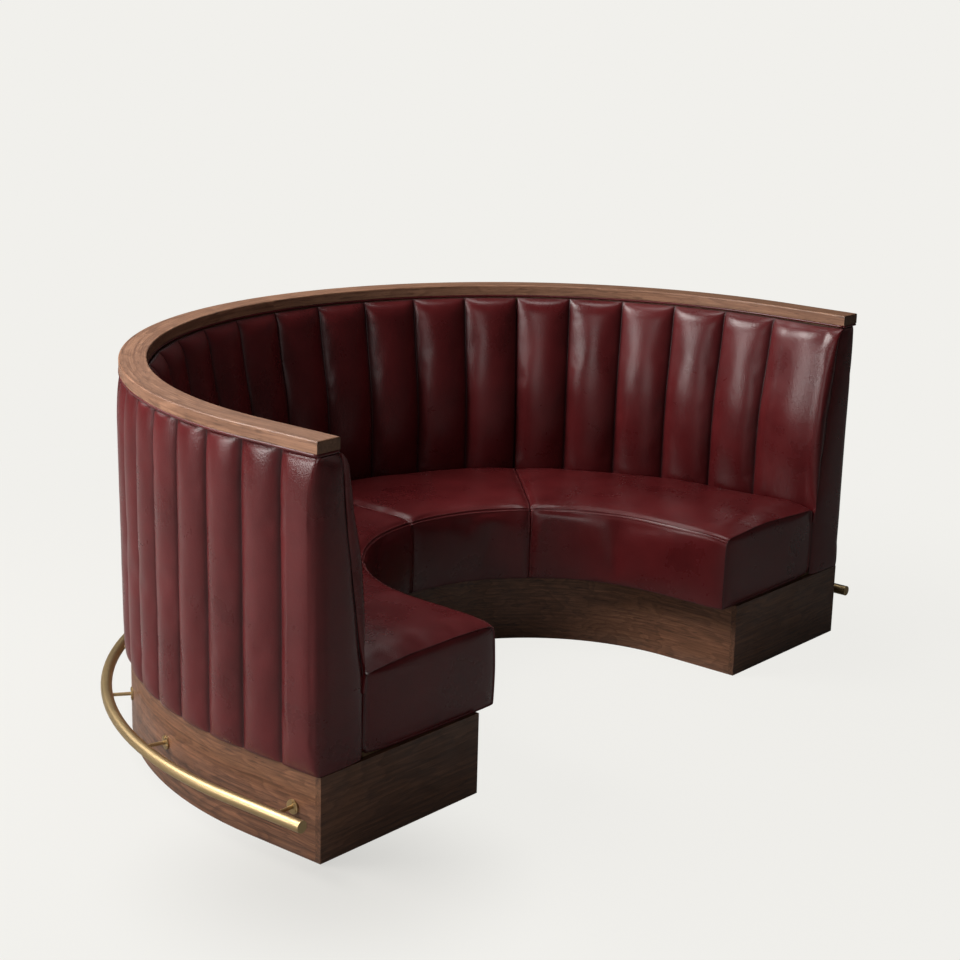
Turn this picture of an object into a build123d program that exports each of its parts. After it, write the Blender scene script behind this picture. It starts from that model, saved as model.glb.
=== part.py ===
from build123d import *
import math
import os

# A restaurant booth: a half circle of seating with a short straight arm at each end.
# The radial sizes are measured from the centre of the curve. The seat opens towards -Y.
booth_radius = 1220.0  # to the outer edge of the cap rail
arm_length = 254.0  # straight run past the half circle
booth_height = 1067.0
seat_height = 469.0
plinth_height = 230.0

# Clearances shared by all the pieces.
fit_gap = 0.3  # a soft or curved face and what it presses against
drill_gap = 0.2  # a screw, dowel or plug and its hole, on the radius
slide_gap = 0.05  # a threaded stem and its nut, on the radius
cut_over = 5.0  # how far a cut runs past what it cuts
board = 18.0  # thickness of all structural plywood

# Walnut cap rail along the top of the back.
cap_width = 77.0
cap_thickness = 31.0
cap_edge_round = 4.0
cap_joint_angles = (25.5, 90.0, 154.5)
cap_dowel_radius = 4.0
cap_dowel_length = 50.0
cap_dowel_inset = 20.0  # dowel axis from the cap's edge
cap_screw_radius = 2.5
cap_screw_head_radius = 4.5
cap_screw_head = 4.0
cap_screw_bite = 18.0  # depth in the cap

# Leather piping under the cap rail.
welt_radius = 4.0
welt_inset = 8.0  # piping axis from the cap's edge

# Back frame: an upright outer skin, a leaning inner skin, ribs and a top rail between them.
outer_skin_inset = 28.0  # from the booth radius to the outer skin's face
skin = 5.0
soft_room = 1.0  # between the seat cushions and the back frame
inner_skin_inset = 60.0  # from the booth radius to the inner skin's face, at the cap
inner_skin_lean = 56.0  # how far that face comes in from the cap to the cushion's foot
top_rail_height = 50.0
back_rib_board = 18.0

# Fluted cushion inside the back.
inner_pad = 84.0  # greatest thickness over the skin
inner_flute_depth = 22.0
inner_flute_angle = 9.0
inner_pad_tuck = 64.0  # from the seat's top down to the cushion's foot
arm_flute_roll = 70.0  # width over which the arm's wide flute rolls up from its crease
end_panel_setback = 43.0  # seam of the end panel behind the cushion's front, at most
end_panel = 20.0
cushion_gap = 0.6  # between two cushions at their seam
cushion_sections = 13  # evenly spaced up the back

# Rows of height, front, depth and setback, from the cushion's foot to its top.
# The sections of the cushion are evenly spaced, so that its surface runs smooth between them.
inner_profile_shares = (
    (0.00, 0.55, 0.45, 0.12),
    (0.13, 0.76, 0.70, 0.28),
    (0.31, 0.96, 1.00, 0.74),
    (0.50, 1.00, 1.00, 0.98),
    (0.62, 0.93, 1.00, 0.98),
    (0.76, 0.79, 0.95, 0.77),
    (0.90, 0.67, 0.85, 0.65),
    (0.97, 0.53, 0.60, 0.50),
    (1.00, 0.31, 0.20, 0.14),
)

# Fluted cushion outside the back.
outer_pad = 34.0  # greatest thickness over the skin
outer_flute_depth = 19.0
outer_flute_count = 32
outer_corner_round = 20.0  # at the arm's end
outer_flute_roll = 45.0

# Rows of height, thickness and depth, from the plinth to the piping.
outer_profile_shares = (
    (0.00, 0.59, 0.42),
    (0.04, 0.76, 0.74),
    (0.12, 0.83, 0.85),
    (0.46, 0.91, 0.95),
    (0.84, 1.00, 1.00),
    (0.94, 0.97, 0.95),
    (0.98, 0.85, 0.79),
    (1.00, 0.59, 0.42),
)

# Seat: cushions over a plywood box.
seat_depth = 512.0
seat_back_tuck = 59.0  # from the inner skin's foot in to the seat's back
seat_seam_angles = (45.0, 90.0, 135.0)
seat_top_pad = 100.0
seat_front_pad = 25.0
seat_front_round = 30.0
seat_back_round = 14.0
seat_back_drop = 6.0
seat_crown = 7.0
seat_front_swell = 4.0
seat_seam_draw = 6.0  # how far the cushion draws in at a seam
seat_end_draw = 14.0  # and at the arm's end
seat_draw_reach = 90.0  # distance over which it does
seat_draw_shares = ((0.0, 1.0), (0.25, 0.45), (0.5, 0.15), (1.0, 0.0))
seat_section_step = 52.0  # widest spacing of the sections, along the cap's edge

# Walnut plinth.
plinth_inset = 18.0  # from the booth radius to the outer panel
toe_room = 80.0  # from the seat's front back to the plinth
floor_gap = 4.0
plinth_rib_lift = 6.0  # rib above the panels' lower edge
rib_angles = (30.0, 60.0, 90.0, 120.0, 150.0)
arm_rib_back = 120.0  # arm rib from the start of the curve

# Levelling feet, in pairs beside four of the ribs.
foot_radius = 22.0
foot_pad = 8.0
foot_nut_radius = 8.5
foot_nut = 5.0
stem_radius = 5.0
stem_length = 58.0
block_side = 60.0
block_height = 40.0
block_lift = 20.0  # block above the floor
nut_radius = 6.5
nut_length = 14.0
nut_flange_radius = 12.0
nut_flange = 2.0
foot_angles = (60.0, 120.0)

# Brass foot rail round the outside.
rail_radius = 16.0  # of the tube
rail_wall = 2.0
rail_standoff = 70.0  # tube axis from the plinth
rail_height = 128.0
rail_proud = 4.0  # tube past the arm's end
rail_cap = 3.0
rail_plug = 15.0
post_radius = 5.0
post_angle = 18.0
arm_post_back = 160.0  # arm post from the start of the curve
flange_radius = 19.0
flange = 4.0
flange_screw_circle = 12.5  # radius
flange_screw_radius = 1.6
flange_screw_head_radius = 3.2
flange_screw_head = 1.6
flange_screw_bite = 14.0
flange_screws = 3

# Sizes that follow from those above.
half_circle = math.pi * booth_radius
curve_start = arm_length
curve_end = arm_length + half_circle
full_run = 2 * arm_length + half_circle
cap_bottom = booth_height - cap_thickness
cap_inner_radius = booth_radius - cap_width
welt_drop = 2 * welt_radius + 2 * fit_gap
cushion_top = cap_bottom - welt_drop
inner_foot = seat_height - inner_pad_tuck
inner_skin_top_radius = booth_radius - inner_skin_inset
inner_skin_slope = inner_skin_lean / (cap_bottom - inner_foot)
outer_skin_radius = booth_radius - outer_skin_inset
rib_outer_radius = outer_skin_radius - skin
seat_back_radius = inner_skin_top_radius - inner_skin_lean - seat_back_tuck
seat_front_radius = seat_back_radius - seat_depth
deck_top = seat_height - seat_top_pad
deck_bottom = deck_top - board
seat_board_radius = seat_front_radius + seat_front_pad
plinth_deck_bottom = plinth_height - board
plinth_front_radius = seat_front_radius + toe_room
plinth_outer_radius = booth_radius - plinth_inset
plinth_inner_face = plinth_front_radius + board
plinth_outer_face = plinth_outer_radius - board
top_rail_bottom = cap_bottom - top_rail_height
rail_path_radius = plinth_outer_radius + rail_standoff
rail_end_run = -rail_proud
rail_reach_front = arm_length + rail_proud + rail_cap
rail_reach_back = rail_path_radius + rail_radius

# The row's origin is on the floor under the middle of the booth's plan.
origin_shift = (rail_reach_front - rail_reach_back) / 2


def angle_run(angle):
    # Distance along the cap's outer edge, from the left arm's end, of an angle from +X.
    return curve_end - booth_radius * math.radians(angle)


def station(run):
    # Plane across the booth: local X points outward, local Y up, and Z along the run.
    if run < curve_start:
        origin = (0, run - arm_length, 0)
        outward = Vector(-1, 0, 0)
    elif run > curve_end:
        origin = (0, curve_end - run, 0)
        outward = Vector(1, 0, 0)
    else:
        turn = (curve_end - run) / booth_radius
        origin = (0, 0, 0)
        outward = Vector(math.cos(turn), math.sin(turn), 0)
    return Plane(origin=origin, x_dir=outward, z_dir=outward.cross(Vector(0, 0, 1)))


def at(run, radius, height):
    return station(run).from_local_coords(Vector(radius, height, 0))


def path_edges(radius, start, end, height):
    # Lines along the arms and an arc along the curve, at one radius and height.
    corners = [corner for corner in (curve_start, curve_end) if start < corner < end]
    stops = [start] + corners + [end]
    edges = []
    for first, last in zip(stops, stops[1:]):
        middle = (first + last) / 2
        if curve_start < middle < curve_end:
            ends = [at(run, radius, height) for run in (first, middle, last)]
            edges.append(ThreePointArc(*ends))
        else:
            edges.append(Line(at(first, radius, height), at(last, radius, height)))
    return edges


def band_face(inner, outer, start, end, height):
    edges = path_edges(inner, start, end, height) + path_edges(outer, start, end, height)
    for run in (start, end):
        edges.append(Line(at(run, inner, height), at(run, outer, height)))
    return make_face(Wire(edges))


def band(inner, outer, start, end, bottom, top):
    # Curved board or rail with flat top and bottom.
    face = band_face(inner, outer, start, end, bottom)
    return extrude(face, amount=top - bottom, dir=(0, 0, 1))


def row_at(rows, height_share):
    # A profile row at any height, on straight lines between the rows given.
    for low, high in zip(rows, rows[1:]):
        if height_share <= high[0]:
            break
    part = (height_share - low[0]) / (high[0] - low[0])
    return [a + part * (b - a) for a, b in zip(low, high)]


def even_rows(rows):
    last = cushion_sections - 1
    return [row_at(rows, k / last) for k in range(cushion_sections)]


def section_board(points, run, thickness):
    # Flat board that stands across the booth, centred on a run.
    outline = Polyline(*points, close=True)
    face = station(run) * make_face(outline)
    return extrude(face, amount=thickness / 2, both=True)


def radial_rod(radius, length, run, start_radius, height):
    # Round rod that points outward.
    across = station(run)
    seat = Plane(origin=at(run, start_radius, height), z_dir=across.x_dir)
    return seat * Cylinder(radius, length, align=(Align.CENTER, Align.CENTER, Align.MIN))


def upright_rod(radius, bottom, top, centre):
    placed = Pos(centre.X, centre.Y, bottom)
    return placed * Cylinder(radius, top - bottom, align=(Align.CENTER, Align.CENTER, Align.MIN))


def inner_skin_face(height):
    # Radius of the inner skin's upholstered face.
    return inner_skin_top_radius - inner_skin_slope * (cap_bottom - height)


def flute_edges(stops, crease, apex, height):
    # One arc for each flute between two creases.
    edges = []
    for first, last in zip(stops, stops[1:]):
        middle = (first + last) / 2
        edges.append(
            ThreePointArc(at(first, crease, height), at(middle, apex, height), at(last, crease, height))
        )
    return edges


def end_flute_edges(crease_run, end_run, crease, apex, roll, corner, height):
    # The flute at an arm's end: it rolls up from its crease, runs on, and turns its corner.
    side = math.copysign(1, end_run - crease_run)
    rise = abs(apex - crease)
    outward = math.copysign(1, apex - crease)
    bend = (rise**2 + roll**2) / (2 * rise)
    half_turn = math.atan2(roll, bend - rise) / 2
    top_run = crease_run + side * roll
    mid_run = top_run - side * bend * math.sin(half_turn)
    mid_radius = apex - outward * bend * (1 - math.cos(half_turn))
    turn_share = 1 - math.sqrt(0.5)
    turn_run = end_run - side * corner
    corner_run = end_run - side * corner * turn_share
    corner_radius = apex - outward * corner * turn_share
    return [
        ThreePointArc(at(crease_run, crease, height), at(mid_run, mid_radius, height), at(top_run, apex, height)),
        Line(at(top_run, apex, height), at(turn_run, apex, height)),
        ThreePointArc(
            at(turn_run, apex, height),
            at(corner_run, corner_radius, height),
            at(end_run, apex - outward * corner, height),
        ),
    ]


def cushion_face(front, back, start, end, height):
    # Closes a cushion's front edges with its two sides and its back.
    edges = front + path_edges(back, start, end, height)
    corners = Wire(front).vertices()
    for run in (start, end):
        foot = at(run, back, height)
        nearest = min(corners, key=lambda corner: (Vector(corner) - foot).length)
        edges.append(Line(Vector(nearest), foot))
    return make_face(Wire(edges))


def inner_row(shares):
    # Height, crease radius, apex radius, seam radius and corner round of one row.
    height_share, front_share, depth_share, setback_share = shares
    height = inner_foot + height_share * (cushion_top - inner_foot)
    apex = inner_skin_face(height) - front_share * inner_pad
    crease = apex + depth_share * inner_flute_depth
    seam = apex + setback_share * end_panel_setback
    return height, crease, apex, seam, (seam - apex) / 2


def inner_cushion(first_angle, last_angle, arm):
    # Fluted cushion from one seat seam to the next, on an arm as far as its end.
    count = round((first_angle - last_angle) / inner_flute_angle)
    creases = [angle_run(first_angle - k * inner_flute_angle) for k in range(count + 1)]
    if arm != "left":
        creases[0] += cushion_gap / 2
    if arm != "right":
        creases[-1] -= cushion_gap / 2
    start = 0 if arm == "left" else creases[0]
    end = full_run if arm == "right" else creases[-1]
    faces = []
    for shares in even_rows(inner_profile_shares):
        height, crease, apex, seam, corner = inner_row(shares)
        front = flute_edges(creases, crease, apex, height)
        if arm == "left":
            front += end_flute_edges(creases[0], start, crease, apex, arm_flute_roll, corner, height)
        if arm == "right":
            front += end_flute_edges(creases[-1], end, crease, apex, arm_flute_roll, corner, height)
        faces.append(cushion_face(front, inner_skin_face(height) - fit_gap, start, end, height))
    cushion = loft(faces)
    if arm:
        cushion -= end_panel_solid(arm, fit_gap)
    return cushion


def end_panel_solid(arm, spare):
    # Upholstered board over the end of the back, on the arm's end plane.
    rows = [inner_row(shares) for shares in inner_profile_shares]
    seam = [(row[3] - spare, row[0]) for row in rows]
    toe = (seat_back_radius + soft_room - spare, plinth_height)
    top = cushion_top
    outer = outer_skin_radius - fit_gap
    edges = [
        Line(toe, (toe[0], inner_foot)),
        Line((toe[0], inner_foot), seam[0]),
        Spline(*seam),
        Line(seam[-1], (outer, top)),
        Line((outer, top), (outer, plinth_height)),
        Line((outer, plinth_height), toe),
    ]
    run = 0 if arm == "left" else full_run
    inward = 1 if arm == "left" else -1
    face = station(run) * make_face(Wire(edges))
    return extrude(face, amount=inward * (end_panel + spare))


def outer_cushion(index, parts):
    # One share of the outer flutes, in order from the left arm's end.
    pitch = full_run / outer_flute_count
    count = outer_flute_count // parts
    stops = [(index * count + k) * pitch for k in range(count + 1)]
    first_part = index == 0
    last_part = index == parts - 1
    start = 0 if first_part else stops[0] + cushion_gap / 2
    end = full_run if last_part else stops[-1] - cushion_gap / 2
    stops[0] = start
    stops[-1] = end
    creases = stops[first_part : len(stops) - last_part]
    faces = []
    for height_share, pad_share, depth_share in even_rows(outer_profile_shares):
        low = plinth_height + fit_gap
        height = low + height_share * (cushion_top - low)
        apex = outer_skin_radius + pad_share * outer_pad
        crease = apex - depth_share * outer_flute_depth
        corner = outer_corner_round * pad_share
        front = flute_edges(creases, crease, apex, height)
        if first_part:
            front += end_flute_edges(creases[0], start, crease, apex, outer_flute_roll, corner, height)
        if last_part:
            front += end_flute_edges(creases[-1], end, crease, apex, outer_flute_roll, corner, height)
        faces.append(cushion_face(front, outer_skin_radius, start, end, height))
    return loft(faces)


def seat_outline(run, draw):
    # Section of a seat cushion, with its front, top and back drawn in by some amount.
    front = seat_front_radius + draw
    top = seat_height - draw
    back = seat_back_radius
    rear_top = top - seat_back_drop
    bend_share = 1 - math.sqrt(0.5)
    front_foot = at(run, front, plinth_height)
    front_swell = at(run, front - seat_front_swell, (plinth_height + top - seat_front_round) / 2)
    front_top = at(run, front, top - seat_front_round)
    nose = at(run, front + seat_front_round * bend_share, top - seat_front_round * bend_share)
    crown_start = at(run, front + seat_front_round, top)
    crown = at(run, (front + back) / 2, top + seat_crown)
    crown_end = at(run, back - seat_back_round, rear_top)
    tail = at(run, back - seat_back_round * bend_share, rear_top - seat_back_round * bend_share)
    back_top = at(run, back, rear_top - seat_back_round)
    back_foot = at(run, back, plinth_height)
    return make_face(
        Wire(
            [
                ThreePointArc(front_foot, front_swell, front_top),
                ThreePointArc(front_top, nose, crown_start),
                ThreePointArc(crown_start, crown, crown_end),
                ThreePointArc(crown_end, tail, back_top),
                Line(back_top, back_foot),
                Line(back_foot, front_foot),
            ]
        )
    )


def seat_cushion(first_angle, last_angle, arm):
    # Crowned cushion over the seat box, drawn in at its seams and at the arm's end.
    start = 0 if arm == "left" else angle_run(first_angle) + cushion_gap / 2
    end = full_run if arm == "right" else angle_run(last_angle) - cushion_gap / 2
    start_draw = seat_end_draw if arm == "left" else seat_seam_draw
    end_draw = seat_end_draw if arm == "right" else seat_seam_draw
    count = math.ceil((end - start) / seat_section_step)
    faces = []
    for k in range(count + 1):
        run = start + k * (end - start) / count
        near_start = start_draw * seat_draw_share(run - start)
        near_end = end_draw * seat_draw_share(end - run)
        faces.append(seat_outline(run, near_start + near_end))
    return loft(faces) - seat_box_space()


def seat_draw_share(distance):
    # Share of the drawing in that is left at some distance from a seam.
    reach = min(distance / seat_draw_reach, 1)
    return row_at(seat_draw_shares, reach)[1]


def seat_box_space():
    # The room that the plywood box takes under the cushions.
    start = seat_front_pad - fit_gap
    return band(
        seat_board_radius - fit_gap,
        seat_back_radius + cut_over,
        start,
        full_run - start,
        plinth_height - cut_over,
        deck_top,
    )


def rib_runs():
    arm_rib = arm_length - arm_rib_back
    return [arm_rib] + [angle_run(angle) for angle in reversed(rib_angles)] + [full_run - arm_rib]


def seat_bearers():
    low = (seat_board_radius + board, plinth_height)
    high = (seat_back_radius, deck_bottom)
    points = [low, (high[0], low[1]), high, (low[0], high[1])]
    return [section_board(points, run, board) for run in rib_runs()]


def seat_end_boards():
    start = seat_front_pad
    inner = seat_board_radius + board
    runs = ((start, start + board), (full_run - start - board, full_run - start))
    return [band(inner, seat_back_radius, a, b, plinth_height, deck_bottom) for a, b in runs]


def seat_front_board():
    outer = seat_board_radius + board
    return band(seat_board_radius, outer, seat_front_pad, full_run - seat_front_pad, plinth_height, deck_bottom)


def seat_deck(first_angle, last_angle, arm):
    start = seat_front_pad if arm == "left" else angle_run(first_angle)
    end = full_run - seat_front_pad if arm == "right" else angle_run(last_angle)
    return band(seat_board_radius, seat_back_radius, start, end, deck_bottom, deck_top)


def plinth_ribs():
    bottom = floor_gap + plinth_rib_lift
    points = [
        (plinth_inner_face, bottom),
        (plinth_outer_face - fit_gap, bottom),
        (plinth_outer_face - fit_gap, plinth_deck_bottom),
        (plinth_inner_face, plinth_deck_bottom),
    ]
    return [section_board(points, run, board) for run in rib_runs()]


def plinth_deck(start, end):
    return band(plinth_inner_face, plinth_outer_face, start, end, plinth_deck_bottom, plinth_height)


def plinth_end_panel(start):
    return band(plinth_front_radius, plinth_outer_radius, start, start + board, floor_gap, plinth_height)


def plinth_front_panel():
    return band(plinth_front_radius, plinth_inner_face, board, full_run - board, floor_gap, plinth_height)


def plinth_outer_panel():
    panel = band(plinth_outer_face, plinth_outer_radius, board, full_run - board, floor_gap, plinth_height)
    pilots = []
    for run in post_runs():
        pilots += flange_screw_rods(run, flange_screw_radius + drill_gap, -flange_screw_bite - drill_gap, cut_over)
    return panel - pilots


def foot_places():
    # Run, direction along the run from the rib, and radius of each levelling foot.
    arm_rib = arm_length - arm_rib_back
    left_angle = max(foot_angles)
    right_angle = min(foot_angles)
    ribs = [(arm_rib, -1), (angle_run(left_angle), 1), (angle_run(right_angle), -1), (full_run - arm_rib, 1)]
    inner = plinth_inner_face + block_side / 2
    # The outer block's far corner stays inside the curved panel.
    corner_side = board / 2 + block_side
    outer = math.sqrt(plinth_outer_face**2 - corner_side**2) - fit_gap - block_side / 2
    return [(run, side, radius) for run, side in ribs for radius in (inner, outer)]


def block_plane(run, side, radius):
    # On the floor under a foot, with the rib's own outward direction.
    offset = side * (board + block_side) / 2
    across = station(run)
    centre = at(run, radius, 0) + across.z_dir * offset
    return Plane(origin=centre, x_dir=across.x_dir, z_dir=(0, 0, 1))


def leveller_block(place):
    plane = block_plane(*place)
    low = (Align.CENTER, Align.CENTER, Align.MIN)
    solid = Pos(0, 0, block_lift) * Box(block_side, block_side, block_height, align=low)
    hole = Pos(0, 0, block_lift - cut_over) * Cylinder(
        nut_radius + drill_gap, block_height + 2 * cut_over, align=low
    )
    return plane * (solid - hole)


def leveller_nut(place):
    plane = block_plane(*place)
    centre = Vector(0, 0, 0)
    barrel = upright_rod(nut_radius, block_lift, block_lift + nut_length, centre)
    lip = upright_rod(nut_flange_radius, block_lift - nut_flange, block_lift, centre)
    bore_top = block_lift + nut_length + cut_over
    bore = upright_rod(stem_radius + slide_gap, block_lift - nut_flange - cut_over, bore_top, centre)
    return plane * (barrel + lip - bore)


def levelling_foot(place):
    plane = block_plane(*place)
    centre = Vector(0, 0, 0)
    pad = upright_rod(foot_radius, 0, foot_pad, centre)
    pad = fillet(pad.edges().group_by(Axis.Z)[-1], foot_pad / 3)
    lock = Pos(0, 0, foot_pad) * extrude(RegularPolygon(foot_nut_radius, 6), amount=foot_nut)
    stem = upright_rod(stem_radius, foot_pad, foot_pad + stem_length, centre)
    return plane * (pad + lock + stem)


def back_ribs():
    face = skin + fit_gap
    toe = seat_back_radius + soft_room
    shelf = inner_foot - fit_gap
    outer = rib_outer_radius - fit_gap
    points = [
        (toe, plinth_height),
        (outer, plinth_height),
        (outer, top_rail_bottom),
        (inner_skin_face(top_rail_bottom) + face, top_rail_bottom),
        (inner_skin_face(shelf) + face, shelf),
        (toe, shelf),
    ]
    return [section_board(points, run, back_rib_board) for run in back_rib_runs()]


def back_rib_runs():
    # Over every rib of the plinth, halfway between them, and at both ends.
    runs = rib_runs()
    between = [(a + b) / 2 for a, b in zip(runs, runs[1:])]
    end_run = end_panel + back_rib_board / 2
    return sorted([end_run, *runs, *between, full_run - end_run])


def top_rails():
    # Four curved lengths that butt at the seat's seams.
    inner = inner_skin_top_radius + skin + 2 * fit_gap
    stops = [end_panel] + [angle_run(angle) for angle in reversed(seat_seam_angles)] + [full_run - end_panel]
    rails = []
    for first, last in zip(stops, stops[1:]):
        rail = band(inner, rib_outer_radius, first, last - cushion_gap, top_rail_bottom, cap_bottom)
        rails.append(rail - cap_screw_rods(cap_screw_radius + drill_gap))
    return rails


def half_runs():
    middle = full_run / 2
    return (("left", end_panel, middle), ("right", middle, full_run - end_panel))


def inner_skin(start, end):
    # Leaning plywood: the radius grows steadily from the cushion's foot to its top.
    faces = []
    for height in (inner_foot, cushion_top):
        face = inner_skin_face(height)
        faces.append(band_face(face, face + skin, start, end, height))
    return loft(faces, ruled=True)


def outer_skin(start, end):
    return band(rib_outer_radius, outer_skin_radius - fit_gap, start, end, plinth_height, cushion_top)


def cap_screw_runs():
    ribs = back_rib_runs()
    return [(a + b) / 2 for a, b in zip(ribs, ribs[1:])]


def cap_screw_centre():
    return (inner_skin_top_radius + skin + rib_outer_radius) / 2


def cap_screw_rods(radius):
    top = cap_bottom + cap_screw_bite
    middle = cap_screw_centre()
    return [upright_rod(radius, top_rail_bottom - cut_over, top, at(run, middle, 0)) for run in cap_screw_runs()]


def cap_screws():
    screws = []
    for run in cap_screw_runs():
        centre = at(run, cap_screw_centre(), 0)
        shank = upright_rod(cap_screw_radius, top_rail_bottom, cap_bottom + cap_screw_bite - drill_gap, centre)
        head = upright_rod(cap_screw_head_radius, top_rail_bottom - cap_screw_head, top_rail_bottom, centre)
        screws.append(shank + head)
    return screws


def cap_dowels(spare):
    dowels = []
    height = cap_bottom + cap_thickness / 2
    for angle in cap_joint_angles:
        across = station(angle_run(angle))
        for radius in (cap_inner_radius + cap_dowel_inset, booth_radius - cap_dowel_inset):
            middle = Plane(origin=at(angle_run(angle), radius, height), z_dir=across.z_dir)
            dowels.append(middle * Cylinder(cap_dowel_radius + spare, cap_dowel_length + 2 * spare))
    return dowels


def cap_rail(start, end):
    # Walnut length with its long edges eased, drilled for its screws and dowels.
    rail = band(cap_inner_radius, booth_radius, start, end, cap_bottom, booth_height)
    joints = [run for run in (start, end) if 0 < run < full_run]
    eased = []
    for edge in rail.edges().group_by(Axis.Z)[-1]:
        middle = edge.position_at(0.5)
        on_joint = [run for run in joints if abs(station(run).to_local_coords(middle).Z) < fit_gap]
        if not on_joint:
            eased.append(edge)
    rail = fillet(eased, cap_edge_round)
    return rail - cap_screw_rods(cap_screw_radius + drill_gap) - cap_dowels(drill_gap)


def welt(radius, start, end):
    path = Wire(path_edges(radius, start, end, welt_height()))
    profile = Plane(origin=path.position_at(0), z_dir=path.tangent_at(0)) * Circle(welt_radius)
    return sweep(profile, path)


def welt_height():
    return cap_bottom - fit_gap - welt_radius


def end_welts():
    # Straight piping across the back's two ends, between the long ones.
    start = cap_inner_radius + welt_inset + welt_radius + fit_gap
    length = booth_radius - welt_inset - welt_radius - fit_gap - start
    rods = []
    for run in (welt_inset, full_run - welt_inset):
        rods.append(radial_rod(welt_radius, length, run, start, welt_height()))
    return rods


def rail_path(start, end):
    return Wire(path_edges(rail_path_radius, start, end, rail_height))


def rail_sweep(radius):
    path = rail_path(rail_end_run, full_run - rail_end_run)
    profile = Plane(origin=path.position_at(0), z_dir=path.tangent_at(0)) * Circle(radius)
    return sweep(profile, path)


def rail_end_cap(side):
    # Flat brass cap with a plug that fits the tube.
    run = rail_end_run if side < 0 else full_run - rail_end_run
    across = station(run)
    mouth = Plane(origin=at(run, rail_path_radius, rail_height), z_dir=across.z_dir * side)
    cap = Cylinder(rail_radius, rail_cap, align=(Align.CENTER, Align.CENTER, Align.MIN))
    plug_radius = rail_radius - rail_wall - drill_gap
    plug = Cylinder(plug_radius, rail_plug, align=(Align.CENTER, Align.CENTER, Align.MAX))
    return mouth * (cap + plug)


def post_runs():
    arm_post = arm_length - arm_post_back
    count = round(180 / post_angle)
    curve = [angle_run(180 - k * post_angle) for k in range(1, count)]
    return [arm_post] + curve + [full_run - arm_post]


def flange_seat():
    return plinth_outer_radius + fit_gap


def rail_posts(tube):
    # Rods from the flanges, with their outer ends shaped to the tube.
    start = flange_seat() + flange
    length = rail_path_radius - start
    return [radial_rod(post_radius, length, run, start, rail_height) - tube for run in post_runs()]


def rail_flanges():
    flanges = []
    for run in post_runs():
        disc = radial_rod(flange_radius, flange, run, flange_seat(), rail_height)
        holes = flange_screw_rods(run, flange_screw_radius + drill_gap, -cut_over, flange + cut_over)
        flanges.append(disc - holes)
    return flanges


def flange_screw_rods(run, radius, start, end):
    # Rods on the flange's screw circle, from start to end outward of its seat.
    across = station(run)
    rods = []
    for k in range(flange_screws):
        turn = math.tau * k / flange_screws + math.pi / 2
        shift = across.z_dir * (flange_screw_circle * math.cos(turn))
        rise = flange_screw_circle * math.sin(turn)
        rod = radial_rod(radius, end - start, run, flange_seat() + start, rail_height + rise)
        rods.append(Pos(shift) * rod)
    return rods


def flange_screw_set():
    screws = []
    for run in post_runs():
        shanks = flange_screw_rods(run, flange_screw_radius, -flange_screw_bite, flange)
        heads = flange_screw_rods(run, flange_screw_head_radius, flange, flange + flange_screw_head)
        screws += [shank + head for shank, head in zip(shanks, heads)]
    return screws


def save(name, shapes):
    # Writes one node, moved so that the origin is under the middle of the plan.
    solids = shapes if isinstance(shapes, list) else [shapes]
    placed = [Pos(0, origin_shift, 0) * solid for solid in solids]
    export_step(placed[0] if len(placed) == 1 else Compound(children=placed), f"parts/{name}.step")


def build():
    os.makedirs("parts", exist_ok=True)

    seams = [180.0, *reversed(seat_seam_angles), 0.0]
    names = ("left_arm", "back_left", "back_right", "right_arm")
    arms = ("left", "", "", "right")
    for name, first, last, arm in zip(names, seams, seams[1:], arms):
        save(f"seat_cushion_{name}", seat_cushion(first, last, arm))
        save(f"seat_deck_{name}", seat_deck(first, last, arm))
        save(f"back_cushion_{name}", inner_cushion(first, last, arm))
    for index, name in enumerate(names):
        save(f"outer_cushion_{name}", outer_cushion(index, len(names)))
    cap_stops = [0, *[angle_run(angle) for angle in reversed(cap_joint_angles)], full_run]
    for name, start, end in zip(names, cap_stops, cap_stops[1:]):
        save(f"cap_rail_{name}", cap_rail(start, end))
    for arm in ("left", "right"):
        save(f"end_panel_{arm}", end_panel_solid(arm, 0))
    for side, start, end in half_runs():
        save(f"inner_skin_{side}", inner_skin(start, end))
        save(f"outer_skin_{side}", outer_skin(start, end))
        deck_start = max(start, board) if side == "right" else board
        deck_end = full_run - board if side == "right" else end
        save(f"plinth_deck_{side}", plinth_deck(deck_start, deck_end))
    save("cap_screws", cap_screws())
    save("cap_dowels", cap_dowels(0))
    save("welt_outer", welt(booth_radius - welt_inset, 0, full_run))
    save("welt_inner", welt(cap_inner_radius + welt_inset, 0, full_run))
    save("welt_ends", end_welts())
    save("top_rails", top_rails())
    save("back_ribs", back_ribs())
    save("seat_front_board", seat_front_board())
    save("seat_end_boards", seat_end_boards())
    save("seat_bearers", seat_bearers())
    save("plinth_front_panel", plinth_front_panel())
    save("plinth_outer_panel", plinth_outer_panel())
    save("plinth_end_left", plinth_end_panel(0))
    save("plinth_end_right", plinth_end_panel(full_run - board))
    save("plinth_ribs", plinth_ribs())
    places = foot_places()
    save("leveller_blocks", [leveller_block(place) for place in places])
    save("leveller_nuts", [leveller_nut(place) for place in places])
    for number, place in enumerate(places, start=1):
        save(f"levelling_foot_{number}", levelling_foot(place))
    save("foot_rail", rail_sweep(rail_radius) - rail_sweep(rail_radius - rail_wall))
    save("rail_end_cap_left", rail_end_cap(-1))
    save("rail_end_cap_right", rail_end_cap(1))
    save("rail_posts", rail_posts(rail_sweep(rail_radius + drill_gap)))
    save("rail_flanges", rail_flanges())
    save("flange_screws", flange_screw_set())


build()
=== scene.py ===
# Restaurant booth: fluted leather inside and outside a curved back, a crowned leather seat,
# a walnut cap rail and plinth, and a brass foot rail.
import bpy
import math
import numpy as np
from mathutils import Matrix, Vector, noise


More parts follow.
